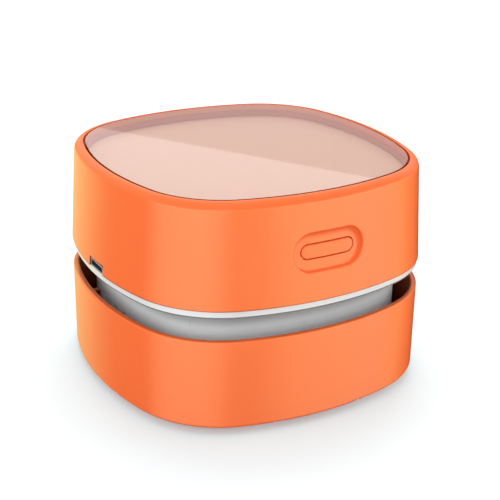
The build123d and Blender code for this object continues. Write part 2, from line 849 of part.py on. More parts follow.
with BuildPart() as power_button:
    add(front_pill(button_length, button_height, flange_back, half_width))
    add(drafted_form(button_sunk, housing_top), mode=Mode.INTERSECT)
    fillet(power_button.faces().sort_by(Axis.Y)[0].edges(), button_round)
    with BuildPart(mode=Mode.PRIVATE) as button_flange_part:
        add(
            front_pill(
                button_length + 2 * button_flange_margin,
                button_height + 2 * button_flange_margin,
                flange_back,
                half_width,
            )
        )
        add(drafted_form(housing_wall + slide_gap / 2, housing_top), mode=Mode.INTERSECT)
    add(button_flange_part.part)
    with BuildSketch(front_plane.offset(stem_back)):
        Circle(stem_radius)
    extrude(amount=stem_length + button_flange / 2)
save(power_button, "power_button")

with BuildPart() as switch_plunger:
    with BuildSketch(front_plane.offset(plunger_back)):
        Circle(plunger_radius)
    extrude(amount=plunger_length)
save(switch_plunger, "switch_plunger")

with BuildPart() as power_switch:
    with BuildSketch(front_plane.offset(switch_back)):
        Rectangle(switch_size, switch_size)
    extrude(amount=switch_depth)
    with BuildSketch(front_plane.offset(switch_front)):
        Circle(plunger_radius + running_gap)
    extrude(amount=-(plunger_engaged + button_travel + slide_gap), mode=Mode.SUBTRACT)
save(power_switch, "power_switch")

board_top_z = cavity_top - slide_gap
with BuildPart() as switch_board:
    with Locations((0, -board_back, board_top_z)):
        Box(
            switch_board_width,
            board_thickness,
            switch_board_height,
            align=(Align.CENTER, Align.MAX, Align.MAX),
        )
save(switch_board, "switch_board")

# ---------------------------------------------------------------- leads
lead_level = cavity_top - lead_drop
lead_x = end_wall_x + running_gap + lead_radius / 4
aisle_x = lead_x - lead_aisle
contact_top = battery_z + contact_size / 2
board_top = charge_board_z + board_thickness
solder_x = board_inner_x + board_post_inset / 2
front_solder_y = port_shift - solder_pitch / 2
back_solder_y = port_shift + solder_pitch / 2
cross_y = column_y - boss_radius - lead_radius - lead_room
with BuildPart() as battery_leads:
    add(
        lead(
            (-lead_x, battery_y, contact_top),
            (-lead_x, battery_y, lead_level),
            (-aisle_x, battery_y, lead_level),
            (-aisle_x, front_solder_y, lead_level),
            (-solder_x, front_solder_y, lead_level),
            (-solder_x, front_solder_y, board_top),
        )
    )
    add(
        lead(
            (lead_x, battery_y, contact_top),
            (lead_x, battery_y, lead_level),
            (aisle_x, battery_y, lead_level),
            (aisle_x, cross_y, lead_level),
            (lead_dip - aisle_x, cross_y, lead_level),
            (lead_dip - aisle_x, cross_y, lead_level - lead_dip),
            (-solder_x, cross_y, lead_level - lead_dip),
            (-solder_x, back_solder_y, lead_level - lead_dip),
            (-solder_x, back_solder_y, board_top),
        )
    )
save(battery_leads, "battery_leads")

lead_start_x = motor_flat / 2 + lead_radius + fit_gap
with BuildPart() as motor_leads:
    for side in (-1, 1):
        add(
            lead(
                (side * lead_start_x, -terminal_width / 2, terminal_z),
                (side * lead_start_x, -terminal_width / 2 - motor_lead_run, terminal_z),
                (
                    side * motor_lead_pitch / 2,
                    -terminal_width / 2 - motor_lead_run - motor_lead_slope,
                    terminal_z - motor_lead_drop,
                ),
                (side * motor_lead_pitch / 2, -board_back, terminal_z - motor_lead_drop),
            )
        )
save(motor_leads, "motor_leads")

# ---------------------------------------------------------------- upper housing, deck and window
with BuildPart() as button_recess:
    add(front_pill(recess_length, recess_height, half_width / 2, half_width * 2))
    add(drafted_form(recess_depth, housing_top), mode=Mode.SUBTRACT)


def on_recess_wall(edge):
    """True for the edges that run around the recess's wall, at its lip or its floor."""
    middle = edge.center()
    above = abs(middle.Z - button_z) - recess_height / 2
    beside = abs(middle.X) - recess_length / 2
    on_pill = max(above, beside) < fit_gap and min(abs(above), abs(beside)) < fit_gap
    return on_pill and middle.Y < -wall_face / 2 and edge.geom_type != GeomType.LINE


rail_x = switch_board_width / 2 + fit_gap
rail_depth = wall_face - housing_wall / 2 - board_back + rail_groove
with BuildPart() as inner_ribs:
    # gussets from the screw bosses to the side walls
    with BuildSketch(Plane.XY.offset(housing_bottom + upstand_height + fit_gap)):
        for x, y in column_points:
            with Locations((x + (column_x / 2 if x > 0 else -column_x / 2), y)):
                Rectangle(column_x, gusset_thickness)
    extrude(amount=cavity_top - housing_bottom - upstand_height - fit_gap)
    # grooved rails that hold the switch board
    for side in (-1, 1):
        with Locations((side * (rail_x - rail_groove), rail_groove - board_back, cavity_top)):
            Box(
                rail_thickness + rail_groove,
                rail_depth,
                switch_board_height,
                align=(Align.MIN if side > 0 else Align.MAX, Align.MAX, Align.MAX),
            )
    add(drafted_form(housing_wall / 2, cavity_top), mode=Mode.INTERSECT)
    with Locations((0, fit_gap / 2 - board_back, cavity_top)):
        Box(
            2 * rail_x,
            board_thickness + fit_gap,
            switch_board_height,
            align=(Align.CENTER, Align.MAX, Align.MAX),
            mode=Mode.SUBTRACT,
        )

with BuildPart() as upper_housing:
    add(drafted_form(0, housing_top))
    fillet(upper_housing.edges().group_by(Axis.Z)[-1], top_round)
    add(drafted_form(housing_wall, cavity_top), mode=Mode.SUBTRACT)
    slab(deck_top - deck_thickness, ledge_z, deck_inset, mode=Mode.SUBTRACT)
    slab(ledge_z, housing_top, window_inset - window_gap, mode=Mode.SUBTRACT)
    add(inner_ribs.part)
    with BuildSketch(Plane.XY.offset(housing_bottom)):
        with Locations(*column_points):
            Circle(boss_radius)
    extrude(amount=cavity_top - housing_bottom)
    with Locations(*[Location((x, y, housing_bottom), (180, 0, 0)) for x, y in column_points]):
        Hole(
            screw_radius + running_gap,
            depth=column_seat_z + housing_screw_length + fit_gap - housing_bottom,
        )
    # shallow soft-edged recess and opening for the power button
    add(button_recess.part, mode=Mode.SUBTRACT)
    add(
        front_pill(
            button_length + 2 * button_gap,
            button_height + 2 * button_gap,
            wall_face - 2 * housing_wall,
            half_width * 2,
        ),
        mode=Mode.SUBTRACT,
    )
    fillet(upper_housing.edges().filter_by(on_recess_wall), recess_round)
    # notch for the charging port in the lower edge
    with Locations((-half_width, port_shift, housing_bottom)):
        Box(
            4 * housing_wall,
            port_width,
            port_height,
            align=(Align.CENTER, Align.CENTER, Align.MIN),
            mode=Mode.SUBTRACT,
        )
save(upper_housing, "upper_housing")

with BuildPart() as deck_panel:
    slab(deck_top - deck_thickness, deck_top, deck_inset + fit_gap)
save(deck_panel, "deck_panel")

with BuildPart() as top_window:
    slab(ledge_z, ledge_z + window_thickness, window_inset)
save(top_window, "top_window")
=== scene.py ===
"""Looks of the desktop mini vacuum cleaner. Metres, +Z up; -Y is the front, with the button."""
from math import cos, pi, radians, sin

import bmesh
import bpy
from mathutils import Matrix, Vector


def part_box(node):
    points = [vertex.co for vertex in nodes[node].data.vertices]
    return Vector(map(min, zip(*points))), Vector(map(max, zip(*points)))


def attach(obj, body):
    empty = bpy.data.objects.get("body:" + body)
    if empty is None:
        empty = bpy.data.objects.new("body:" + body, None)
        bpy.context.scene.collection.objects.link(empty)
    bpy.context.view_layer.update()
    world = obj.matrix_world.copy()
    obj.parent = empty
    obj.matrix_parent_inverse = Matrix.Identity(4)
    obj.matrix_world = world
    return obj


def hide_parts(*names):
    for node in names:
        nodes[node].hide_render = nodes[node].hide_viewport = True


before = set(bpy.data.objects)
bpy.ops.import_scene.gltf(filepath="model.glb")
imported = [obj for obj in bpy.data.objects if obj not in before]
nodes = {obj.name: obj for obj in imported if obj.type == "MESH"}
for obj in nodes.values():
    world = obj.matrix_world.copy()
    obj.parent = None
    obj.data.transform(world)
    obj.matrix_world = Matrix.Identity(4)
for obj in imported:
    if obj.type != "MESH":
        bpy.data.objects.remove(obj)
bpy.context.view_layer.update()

scene = bpy.context.scene
MM = 0.001
WELD = 1e-6             # points closer than this are one
CREASE = radians(42)    # edges sharper than this stay sharp

# ---------------------------------------------------------------- places on the solids
button_low, button_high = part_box("power_button")
socket_low, socket_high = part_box("usb_socket")
mesh_low, mesh_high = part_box("filter_mesh")
ring_low, ring_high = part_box("trim_ring")
housing_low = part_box("upper_housing")[0]
window_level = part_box("top_window")[0].z    # underside of the window
deck_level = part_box("deck_panel")[1].z      # face of the panel under it
cup_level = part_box("dust_bin")[1].z         # crest of the cup's lip
cup_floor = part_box("chamber_ring")[0].z

# the shallow dip around the power button is a level pill
DIP_LENGTH, DIP_HEIGHT = 18.8 * MM, 9.5 * MM
DIP_HALF_LINE = (DIP_LENGTH - DIP_HEIGHT) / 2   # half of its straight middle line
DIP_LEVEL = (button_low.z + button_high.z) / 2
DIP_LEAN_X, DIP_LEAN_Z = 0.6 * MM, 0.8 * MM     # its painted shade lies towards the right and the top

# ---------------------------------------------------------------- camera
CAMERA_AZIMUTH = radians(-29.57)
CAMERA_HEIGHT_ANGLE = radians(22.32)
CAMERA_ROLL = 0.0165      # radians
CAMERA_LENS = 80.99
CAMERA_DISTANCE = 310.1 * MM
CAMERA_NEAR, CAMERA_FAR = 0.01, 20
AIM_POINT = Vector((0, 0, 2 * MM))
AIM_LEFT = 2.46 * MM      # how far the aim point lies left of the picture's middle
AIM_BELOW = 25.42 * MM    # and below it


def set_camera():
    """Looks from the front left and a little from above, with the aim point below the middle."""
    back = Vector(
        (
            sin(CAMERA_AZIMUTH) * cos(CAMERA_HEIGHT_ANGLE),
            -cos(CAMERA_AZIMUTH) * cos(CAMERA_HEIGHT_ANGLE),
            sin(CAMERA_HEIGHT_ANGLE),
        )
    )
    level_right = Vector((0, 0, 1)).cross(back).normalized()
    right = Matrix.Rotation(CAMERA_ROLL, 3, back) @ level_right
    up = back.cross(right)
    camera = bpy.data.objects.new("camera", bpy.data.cameras.new("camera"))
    scene.collection.objects.link(camera)
    camera.data.lens = CAMERA_LENS
    camera.data.clip_start, camera.data.clip_end = CAMERA_NEAR, CAMERA_FAR
    place = AIM_POINT + AIM_LEFT * right + AIM_BELOW * up + CAMERA_DISTANCE * back
    facing = Matrix((right, up, back)).transposed().to_4x4()
    camera.matrix_world = Matrix.Translation(place) @ facing
    scene.camera = camera


set_camera()


# ---------------------------------------------------------------- node helpers
def add_node(tree, kind, sockets=None, **options):
    """Adds a node, sets its options, and links or fills its inputs, given by name or number."""
    node = tree.nodes.new(kind)
    for option, value in options.items():
        setattr(node, option, value)
    for key, value in (sockets or {}).items():
        if isinstance(value, bpy.types.NodeSocket):
            tree.links.new(value, node.inputs[key])
        else:
            node.inputs[key].default_value = value
    return node


def output(tree, kind, sockets=None, which=0, **options):
    """Adds a node and gives its first output, or the one that `which` names."""
    return add_node(tree, kind, sockets, **options).outputs[which]


def maths(tree, operation, *values):
    return output(tree, "ShaderNodeMath", dict(enumerate(values)), operation=operation)


def split(tree, vector):
    """The outputs X, Y and Z of a vector."""
    return add_node(tree, "ShaderNodeSeparateXYZ", {"Vector": vector}).outputs


def to_vector(tree, **axes):
    return output(tree, "ShaderNodeCombineXYZ", axes)


def length(tree, vector):
    return output(tree, "ShaderNodeVectorMath", {0: vector}, "Value", operation="LENGTH")


def object_position(tree):
    return output(tree, "ShaderNodeTexCoord", which="Object")


def noise(tree, at, size, detail=2.0, stretch=(1, 1, 1)):
    """Noise with features about `size` metres across, drawn out along the axes by `stretch`."""
    if stretch != (1, 1, 1):
        scale = tuple(1 / s for s in stretch)
        at = output(tree, "ShaderNodeMapping", {"Vector": at, "Scale": scale})
    return output(tree, "ShaderNodeTexNoise", {"Vector": at, "Scale": 1 / size, "Detail": detail})


def ramp(tree, value, *stops):
    """Colour ramp through (position, colour) stops; a colour may be one number."""
    node = add_node(tree, "ShaderNodeValToRGB", {"Fac": value})
    elements = node.color_ramp.elements
    while len(elements) < len(stops):
        elements.new(1)
    for element, (position, colour) in zip(elements, stops):
        element.position = position
        element.color = (*([colour] * 3 if isinstance(colour, (int, float)) else colour), 1)
    return node.outputs["Color"]


def between(tree, value, start, end, low, high, way="SMOOTHSTEP"):
    """Runs from low to high while the value goes from start to end."""
    sockets = {"Value": value, "From Min": start, "From Max": end, "To Min": low, "To Max": high}
    return output(tree, "ShaderNodeMapRange", sockets, interpolation_type=way)


def spread(tree, value, low, high):
    """Stretches the middle half of a noise to the range from low to high."""
    return between(tree, value, 0.25, 0.75, low, high, "LINEAR")


def bumps(tree, height, depth, strength=1.0, under=None):
    sockets = {"Height": height, "Distance": depth, "Strength": strength}
    if under is not None:
        sockets["Normal"] = under
    return output(tree, "ShaderNodeBump", sockets)


def facing_back(tree):
    """1 on the inner side of a surface."""
    return output(tree, "ShaderNodeNewGeometry", which="Backfacing")


def mixed(tree, share, first, second):
    return output(tree, "ShaderNodeMixShader", {0: share, 1: first, 2: second})


def shaded(colour, share):
    return tuple(min(1.0, c * share) for c in colour)


# ---------------------------------------------------------------- finishes
def empty_material(name):
    material = bpy.data.materials.new(name)
    material.use_nodes = True
    material.node_tree.nodes.clear()
    return material, material.node_tree


def show(tree, shader):
    add_node(tree, "ShaderNodeOutputMaterial", {"Surface": shader})


def make_material(name, finish, *details, **options):
    """A material whose shader inputs come from a finish: a function of tree, place and details."""
    material, tree = empty_material(name)
    sockets = finish(tree, object_position(tree), *details, **options)
    show(tree, output(tree, "ShaderNodeBsdfPrincipled", sockets))
    return material


def moulded(
    tree,
    at,
    colour,
    roughness,
    mottle=0.03,
    grain=0.35 * MM,
    depth=0.002 * MM,
    shade=None,
    gloss=None,
    constants=None,
):
    """Moulded plastic: faint flow marks, a fine texture and slightly uneven gloss.

    `shade` and `gloss`, where given, add nodes that scale the colour with painted shade and that
    set the specular level from place to place. `constants` are inputs that are the same all over.
    """
    place = split(tree, at)
    flow = noise(tree, at, 9 * MM, detail=3, stretch=(1, 1, 2.5))
    dark, light = shaded(colour, 1 - mottle), shaded(colour, 1 + mottle)
    tone = ramp(tree, flow, (0.3, dark), (0.7, light))
    if shade is not None:
        scaling = {"Vector": tone, "Scale": shade(tree, place)}
        tone = output(tree, "ShaderNodeVectorMath", scaling, operation="SCALE")
    polish = noise(tree, at, 2.2 * MM)
    wave = bumps(tree, noise(tree, at, 14 * MM, detail=1), 0.02 * MM, 0.25)
    sockets = {
        "Base Color": tone,
        "Roughness": spread(tree, polish, roughness * 0.9, roughness * 1.1),
        "Normal": bumps(tree, noise(tree, at, grain, detail=3), depth, 0.5, wave),
        **(constants or {}),
    }
    if gloss is not None:
        sockets["Specular IOR Level"] = gloss(tree, place)
    return sockets


def brushed(tree, at, colour, roughness, along, grain=0.12 * MM):
    """Plated or brushed metal with fine lines along one axis and small stains."""
    stretch = tuple(40 if axis == along else 1 for axis in "XYZ")
    lines = noise(tree, at, grain, detail=4, stretch=stretch)
    stains = noise(tree, at, 3 * MM, detail=4)
    return {
        "Base Color": ramp(tree, stains, (0.3, shaded(colour, 0.9)), (0.75, shaded(colour, 1.06))),
        "Metallic": 1.0,
        "Roughness": spread(tree, lines, roughness * 0.8, roughness * 1.25),
        "Normal": bumps(tree, lines, 0.003 * MM, 0.5),
    }


def rubber(tree, at, colour, roughness=0.75):
    """Soft rubber with a dusty bloom."""
    bloom = noise(tree, at, 2.5 * MM, detail=5)
    pores = noise(tree, at, 0.2 * MM, detail=2)
    return {
        "Base Color": ramp(tree, bloom, (0.35, colour), (0.8, shaded(colour, 1.5))),
        "Roughness": spread(tree, bloom, roughness - 0.1, roughness + 0.1),
        "Normal": bumps(tree, pores, 0.01 * MM, 0.6),
        "Specular IOR Level": 0.35,
    }


def cloth(tree, at):
    """Filter threads with fuzz and a little dust."""
    dust = noise(tree, at, 6 * MM, detail=5)
    fuzz = noise(tree, at, 0.08 * MM, detail=3)
    return {
        "Base Color": ramp(tree, dust, (0.35, (0.8, 0.8, 0.77)), (0.75, (0.68, 0.67, 0.63))),
        "Roughness": spread(tree, fuzz, 0.75, 0.95),
        "Normal": bumps(tree, fuzz, 0.01 * MM, 0.8),
        "Sheen Weight": 0.3,
        "Sheen Roughness": 0.4,
    }


def nylon(tree, at):
    """Dark bristles that differ a little from hair to hair."""
    strand = noise(tree, at, 0.25 * MM, detail=1, stretch=(1, 1, 6))
    return {
        "Base Color": ramp(tree, strand, (0.3, (0.05, 0.05, 0.055)), (0.75, (0.16, 0.16, 0.17))),
        "Roughness": spread(tree, strand, 0.3, 0.5),
        "Sheen Weight": 0.15,
    }


def shrink_wrap(tree, at):
    """Wrap of the cell: soft wrinkles and a darker band near each end."""
    band_start = 22.5 * MM
    wrinkles = noise(tree, at, 1.6 * MM, detail=3, stretch=(5, 1, 1))
    off_middle = maths(tree, "ABSOLUTE", split(tree, at)["X"])
    end = maths(tree, "GREATER_THAN", off_middle, band_start)
    return {
        "Base Color": ramp(tree, end, (0.2, (0.05, 0.2, 0.5)), (0.8, (0.03, 0.12, 0.32))),
        "Roughness": spread(tree, wrinkles, 0.18, 0.32),
        "Normal": bumps(tree, wrinkles, 0.05 * MM, 0.4),
        "Coat Weight": 0.3,
    }


def solder_mask(tree, at):
    """Green mask over copper tracks."""
    grid = {"Vector": at, "Scale": 1 / (2.4 * MM)}
    cells = output(tree, "ShaderNodeTexVoronoi", grid, distance="MANHATTAN")
    tracks = maths(tree, "PINGPONG", cells, 0.16)
    deep_green, green = (0.012, 0.13, 0.05), (0.02, 0.2, 0.075)
    return {
        "Base Color": ramp(tree, tracks, (0.06, deep_green), (0.09, green)),
        "Roughness": spread(tree, noise(tree, at, 1.5 * MM), 0.25, 0.4),
        "Normal": bumps(tree, tracks, 0.03 * MM, 0.5),
    }


def epoxy(tree, at):
    """Black moulding of a chip."""
    speckle = noise(tree, at, 0.12 * MM, detail=2)
    return {
        "Base Color": ramp(tree, speckle, (0.3, 0.012), (0.75, 0.035)),
        "Roughness": spread(tree, speckle, 0.45, 0.65),
        "Normal": bumps(tree, speckle, 0.006 * MM, 0.6),
    }


def make_clear_acrylic():
    """Clear plate: what lies under it shows through, and its face mirrors by the view's angle."""
    material, tree = empty_material("clear_acrylic")
    smears = noise(tree, object_position(tree), 16 * MM, detail=4, stretch=(2, 1, 1))
    clear = output(tree, "ShaderNodeBsdfTransparent", {"Color": (0.97, 0.955, 0.945, 1)})
    polish = {"Color": (1, 0.985, 0.97, 1), "Roughness": spread(tree, smears, 0.01, 0.03)}
    mirror = output(tree, "ShaderNodeBsdfGlossy", polish)
    both_faces = output(tree, "ShaderNodeFresnel", {"IOR": 1.85})
    front = maths(tree, "SUBTRACT", 1.0, facing_back(tree))
    show(tree, mixed(tree, maths(tree, "MULTIPLY", both_faces, front), clear, mirror))
    return material


def make_window_edge():
    """The plate's sawn edge: painted shade, dark when seen from outside; from within, a plain
    orange that is painted light standing in for the lit wall seen through it.
    """
    material, tree = empty_material("window_edge")
    saw_marks = noise(tree, object_position(tree), 0.3 * MM, detail=3, stretch=(1, 1, 12))
    # painted shade: dark browns for the edge seen from outside
    dark, light = (0.24, 0.07, 0.015), (0.32, 0.1, 0.022)
    sockets = {
        "Base Color": ramp(tree, saw_marks, (0.3, dark), (0.7, light)),
        "Roughness": 0.6,
        "Normal": bumps(tree, saw_marks, 0.01 * MM, 0.5),
        "Specular IOR Level": 0.0,
    }
    edge = output(tree, "ShaderNodeBsdfPrincipled", sockets)
    glow = output(tree, "ShaderNodeBsdfDiffuse", {"Color": (0.6, 0.13, 0.02, 1)})
    show(tree, mixed(tree, facing_back(tree), edge, glow))
    return material


# ---------------------------------------------------------------- painted shades
def by_height(start, end, low, high):
    """A painted shade that runs from low to high between two heights."""
    return lambda tree, place: between(tree, place["Z"], start, end, low, high)


def by_dip(start, end, low, high):
    """The same painted shade by the distance from the dip's middle line, shifted away from its
    shaded side.
    """

    def share(tree, place):
        side = maths(tree, "ABSOLUTE", maths(tree, "ADD", place["X"], DIP_LEAN_X))
        beside = maths(tree, "MAXIMUM", maths(tree, "SUBTRACT", side, DIP_HALF_LINE), 0.0)
        above = maths(tree, "SUBTRACT", place["Z"], DIP_LEVEL - DIP_LEAN_Z)
        reach = length(tree, to_vector(tree, X=beside, Y=above))
        return between(tree, reach, start, end, low, high)

    return share


# painted shadow: a thin dark line along the housing's joint with the ring
seam_shade = by_height(housing_low.z, housing_low.z + 0.45 * MM, 0.4, 1.0)
# painted shade: the cup's lip is darker along its crest
lip_shade = by_height(cup_level - 0.24 * MM, cup_level - 0.03 * MM, 1.0, 0.7)
# painted shadow: the neck is darker close under the ring
neck_shade = by_height(ring_low.z - 6.0 * MM, ring_low.z - 2.6 * MM, 1.08, 0.4)
# painted shade: the dip's sloping edge is a little darker towards the top and right, and loses its
# gloss there
dip_shade = by_dip(3.8 * MM, 5.3 * MM, 1.0, 0.95)
dip_gloss = by_dip(3.7 * MM, 5.1 * MM, 0.62, 0.03)

# ---------------------------------------------------------------- materials
ORANGE = (1.0, 0.172, 0.044)
WARM_GLOSS = {"IOR": 1.5, "Specular IOR Level": 0.62, "Specular Tint": (1.0, 0.92, 0.55, 1)}


def orange(name, roughness, **options):
    return make_material(name, moulded, ORANGE, roughness, mottle=0.012, **options)


def specular(level, **others):
    return {"Specular IOR Level": level, **others}


orange_shell = orange("orange_shell", 0.19, shade=seam_shade, constants=WARM_GLOSS)
orange_cup = orange("orange_cup", 0.2, shade=lip_shade, constants=WARM_GLOSS)
orange_key = orange("orange_key", 0.26, constants=WARM_GLOSS)
orange_dip = orange("orange_dip", 0.19, shade=dip_shade, gloss=dip_gloss, constants=WARM_GLOSS)
orange_rim = orange("orange_rim", 0.4, constants=specular(0.15))
# painted shade: the orange at half its colour, for the well under the window and the lip's inner
# side
orange_half_shade = make_material(
    "orange_half_shade", moulded, shaded(ORANGE, 0.5), 0.35, mottle=0.02, constants=specular(0.25)
)
# painted shade: the orange at a quarter of its colour, for the insides of the housing and cup and
# the port's notch
orange_deep_shade = make_material("orange_deep_shade", moulded, shaded(ORANGE, 0.25), 0.4)
white_band = make_material("white_band", moulded, (0.775, 0.78, 0.79), 0.25, mottle=0.01)
silver_neck = make_material(
    "silver_neck",
    moulded,
    (0.79, 0.84, 0.855),
    0.3,
    mottle=0.02,
    grain=0.2 * MM,
    shade=neck_shade,
    constants=specular(0.85),
)
peach_deck = make_material(
    "peach_deck", moulded, (0.67, 0.35, 0.235), 0.55, mottle=0.012, grain=0.6 * MM
)
pale_plastic = make_material("pale_plastic", moulded, (0.7, 0.7, 0.68), 0.42)
black_plastic = make_material(
    "black_plastic", moulded, (0.025, 0.025, 0.027), 0.38, mottle=0.1, depth=0.004 * MM
)
plunger_plastic = make_material("plunger_plastic", moulded, (0.05, 0.05, 0.05), 0.35, mottle=0.08)
tongue_plastic = make_material("tongue_plastic", moulded, (0.34, 0.34, 0.34), 0.4, mottle=0.08)
# painted shadow: dark grey for the bead that stands in for the shadow under the ring
shadow_bead_grey = make_material(
    "shadow_bead_grey", moulded, (0.2, 0.2, 0.205), 0.5, mottle=0.05, constants=specular(0.2)
)
socket_metal = make_material(
    "socket_metal",
    moulded,
    (0.38, 0.38, 0.4),
    0.45,
    mottle=0.06,
    constants=specular(0.3, Metallic=0.35),
)
grey_rubber = make_material("grey_rubber", rubber, (0.11, 0.11, 0.11))
red_lead = make_material("red_lead", rubber, (0.6, 0.03, 0.03), 0.45)
zinc = make_material("zinc", brushed, (0.6, 0.6, 0.59), 0.3, "X")
nickel = make_material("nickel", brushed, (0.62, 0.62, 0.63), 0.28, "Z", 0.2 * MM)
brass = make_material("brass", brushed, (0.78, 0.6, 0.28), 0.3, "Y")
filter_cloth = make_material("filter_cloth", cloth)
bristle_nylon = make_material("bristle_nylon", nylon)
cell_wrap = make_material("cell_wrap", shrink_wrap)
circuit_board = make_material("circuit_board", solder_mask)
chip_epoxy = make_material("chip_epoxy", epoxy)
clear_acrylic = make_clear_acrylic()
window_edge = make_window_edge()


def dress(material, *names):
    for name in names:
        for place in nodes[name].material_slots:
            place.material = material


# solids that show as they are; the others get the material of the piece that stands for them
dress(peach_deck, "deck_panel")
dress(pale_plastic, "mid_plate")
dress(black_plastic, "power_switch")
dress(tongue_plastic, "usb_tongue")
dress(plunger_plastic, "switch_plunger")
dress(zinc, "motor_shaft")
dress(brass, "motor_terminals", "battery_contacts")
dress(circuit_board, "charge_board", "switch_board")
dress(chip_epoxy, "board_parts")
dress(red_lead, "battery_leads", "motor_leads")


# ---------------------------------------------------------------- smooth shells
def new_piece(name, mesh, body, material, slot, *replaced):
    """A piece that rides on a body and stands for the CAD nodes that it replaces."""
    mesh.name = name
    mesh.materials.clear()
    mesh.materials.append(material)
    piece = bpy.data.objects.new(name, mesh)
    scene.collection.objects.link(piece)
    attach(piece, body)
    if replaced:
        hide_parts(*replaced)
        dress(material, *replaced)
    return piece


def smooth_faces(mesh):
    mesh.shade_smooth()
    mesh.set_sharp_from_angle(angle=CREASE)


def welded(node):
    """A copy of a CAD node's mesh whose loose triangles are joined."""
    mesh = nodes[node].data.copy()
    if "custom_normal" in mesh.attributes:
        mesh.attributes.remove(mesh.attributes["custom_normal"])
    work = bmesh.new()
    work.from_mesh(mesh)
    bmesh.ops.remove_doubles(work, verts=work.verts, dist=WELD)
    bmesh.ops.dissolve_degenerate(work, edges=work.edges, dist=WELD)
    work.to_mesh(mesh)
    work.free()
    return mesh


def smooth_shell(name, node, body, material, slot):
    """Stands for a CAD node with one smooth skin over its tangent faces; flat faces stay flat."""
    mesh = welded(node)
    smooth_faces(mesh)
    piece = new_piece(name, mesh, body, material, slot, node)
    piece.modifiers.new("flat_faces", "WEIGHTED_NORMAL").keep_sharp = True


for shell in (
    ("housing_shell", "upper_housing", "head", orange_shell, "orange_housing"),
    ("ring_band", "trim_ring", "head", white_band, "white_ring"),
    ("neck_shell", "chassis", "head", silver_neck, "neck_white"),
    ("fan_floor_shell", "fan_base", "head", pale_plastic, "inner_plastic"),
    ("cup_shell", "dust_bin", "bin", orange_cup, "orange_bin"),
    ("chamber_wall", "chamber_ring", "bin", orange_cup, "orange_bin"),
    ("duct_shell", "inlet_duct", "bin", orange_cup, "orange_bin"),
    ("button_cap", "power_button", "button", orange_key, "orange_button"),
    ("pad_feet", "glide_pads", "bin", grey_rubber, "rubber_grey"),
    ("seal_band", "seal_ring", "head", grey_rubber, "rubber_grey"),
    ("brush_plate", "brush_holder", "bin", black_plastic, "black_plastic"),
    ("filter_grid", "filter_frame", "filter", pale_plastic, "inner_plastic"),
    ("fan_wheel", "impeller", "fan", pale_plastic, "inner_plastic"),
    ("diffuser", "fan_cover", "head", pale_plastic, "inner_plastic"),
    ("motor_shell", "motor_can", "head", nickel, "plated_steel"),
    ("motor_cap", "motor_endcap", "head", black_plastic, "black_plastic"),
    ("motor_boot", "motor_sleeve", "head", grey_rubber, "rubber_grey"),
    ("cell", "battery_cell", "head", cell_wrap, "cell_wrap"),
    ("cell_cradle", "battery_cradle", "head", pale_plastic, "inner_plastic"),
    ("socket_shell", "usb_socket", "head", socket_metal, "plated_steel"),
    ("window_plate", "top_window", "head", clear_acrylic, "clear_window"),
):
    smooth_shell(*shell)

# ---------------------------------------------------------------- tinted faces
LIP_DEPTH, LIP_CREST = 1.1 * MM, 0.12 * MM      # the lip's inner side, measured down from its top
WELL_DEPTH = 1 * MM         # how far below the panel's face the well's wall and ledge reach
NOTCH_MARGIN = 0.6 * MM     # around the socket, out to the notch's edges
SOCKET_RIM = 0.3 * MM       # the socket's bright front rim
DIP_MARGIN = 0.35 * MM      # around the dip, for its round edge


def tint(piece, material, chosen):
    """Gives another material to the faces of a shell whose centre and normal `chosen` picks."""
    mesh = bpy.data.objects[piece].data
    mesh.materials.append(material)
    for face in mesh.polygons:
        if chosen(face.center, face.normal):
            face.material_index = len(mesh.materials) - 1


def faces_inward(centre, normal):
    """Whether a face turns at least a little towards the object's middle axis."""
    return normal.xy.dot(centre.xy) < -0.1 * centre.xy.length


def faces_outward(centre, normal):
    """Whether a face turns well away from the middle axis."""
    return normal.xy.dot(centre.xy) > 0.5 * centre.xy.length


def in_well(centre, normal):
    """The wall and ledge of the well under the window."""
    faces_up = normal.z > 0.9
    at_height = deck_level - WELL_DEPTH < centre.z < window_level + WELD
    return at_height and (faces_up or faces_inward(centre, normal))


def in_housing(centre, normal):
    """The housing's inner faces, and the faces of the port's notch that run through its wall."""
    off_port = abs(centre.y - (socket_low.y + socket_high.y) / 2)
    at_port = (
        centre.x < socket_high.x
        and off_port < (socket_high.y - socket_low.y) / 2 + NOTCH_MARGIN
        and centre.z < socket_high.z + NOTCH_MARGIN
    )
    across_wall = abs(normal.x) < 0.6 and normal.z < 0.6
    inside = centre.z < deck_level - WELL_DEPTH and faces_inward(centre, normal)
    return inside or at_port and across_wall


def at_rim(centre, normal):
    """The housing's top edge around the window."""
    return normal.z > 0.5 and centre.z > window_level


def in_dip(centre, normal):
    """The wall and floor of the dip around the power button."""
    beside = max(abs(centre.x) - DIP_HALF_LINE, 0)
    within = Vector((beside, centre.z - DIP_LEVEL)).length < DIP_HEIGHT / 2 + DIP_MARGIN
    sunk = centre.y > housing_low.y + DIP_MARGIN / 2
    slanted = normal.y > -0.98
    outside = centre.y < housing_low.y / 2 and normal.y < 0.2
    return within and outside and (sunk or slanted)


def in_cup(centre, normal):
    """All within the cup below its lip: walls, floor and ribs."""
    below_lip = cup_floor - WELD < centre.z < cup_level - LIP_DEPTH
    return below_lip and not faces_outward(centre, normal)


def in_lip(centre, normal):
    """The inner side of the cup's rounded lip."""
    at_height = cup_level - LIP_DEPTH <= centre.z < cup_level - LIP_CREST
    return at_height and faces_inward(centre, normal)


def in_socket(centre, normal):
    """The inside of the socket behind its front rim."""
    return centre.x > socket_low.x + SOCKET_RIM


def on_edge(centre, normal):
    """The upright edge of the window plate."""
    return abs(normal.z) < 0.5


# painted shade on the well's wall and ledge
tint("housing_shell", orange_half_shade, in_well)
# painted shade inside the housing and in the port's notch
tint("housing_shell", orange_deep_shade, in_housing)
tint("housing_shell", orange_rim, at_rim)
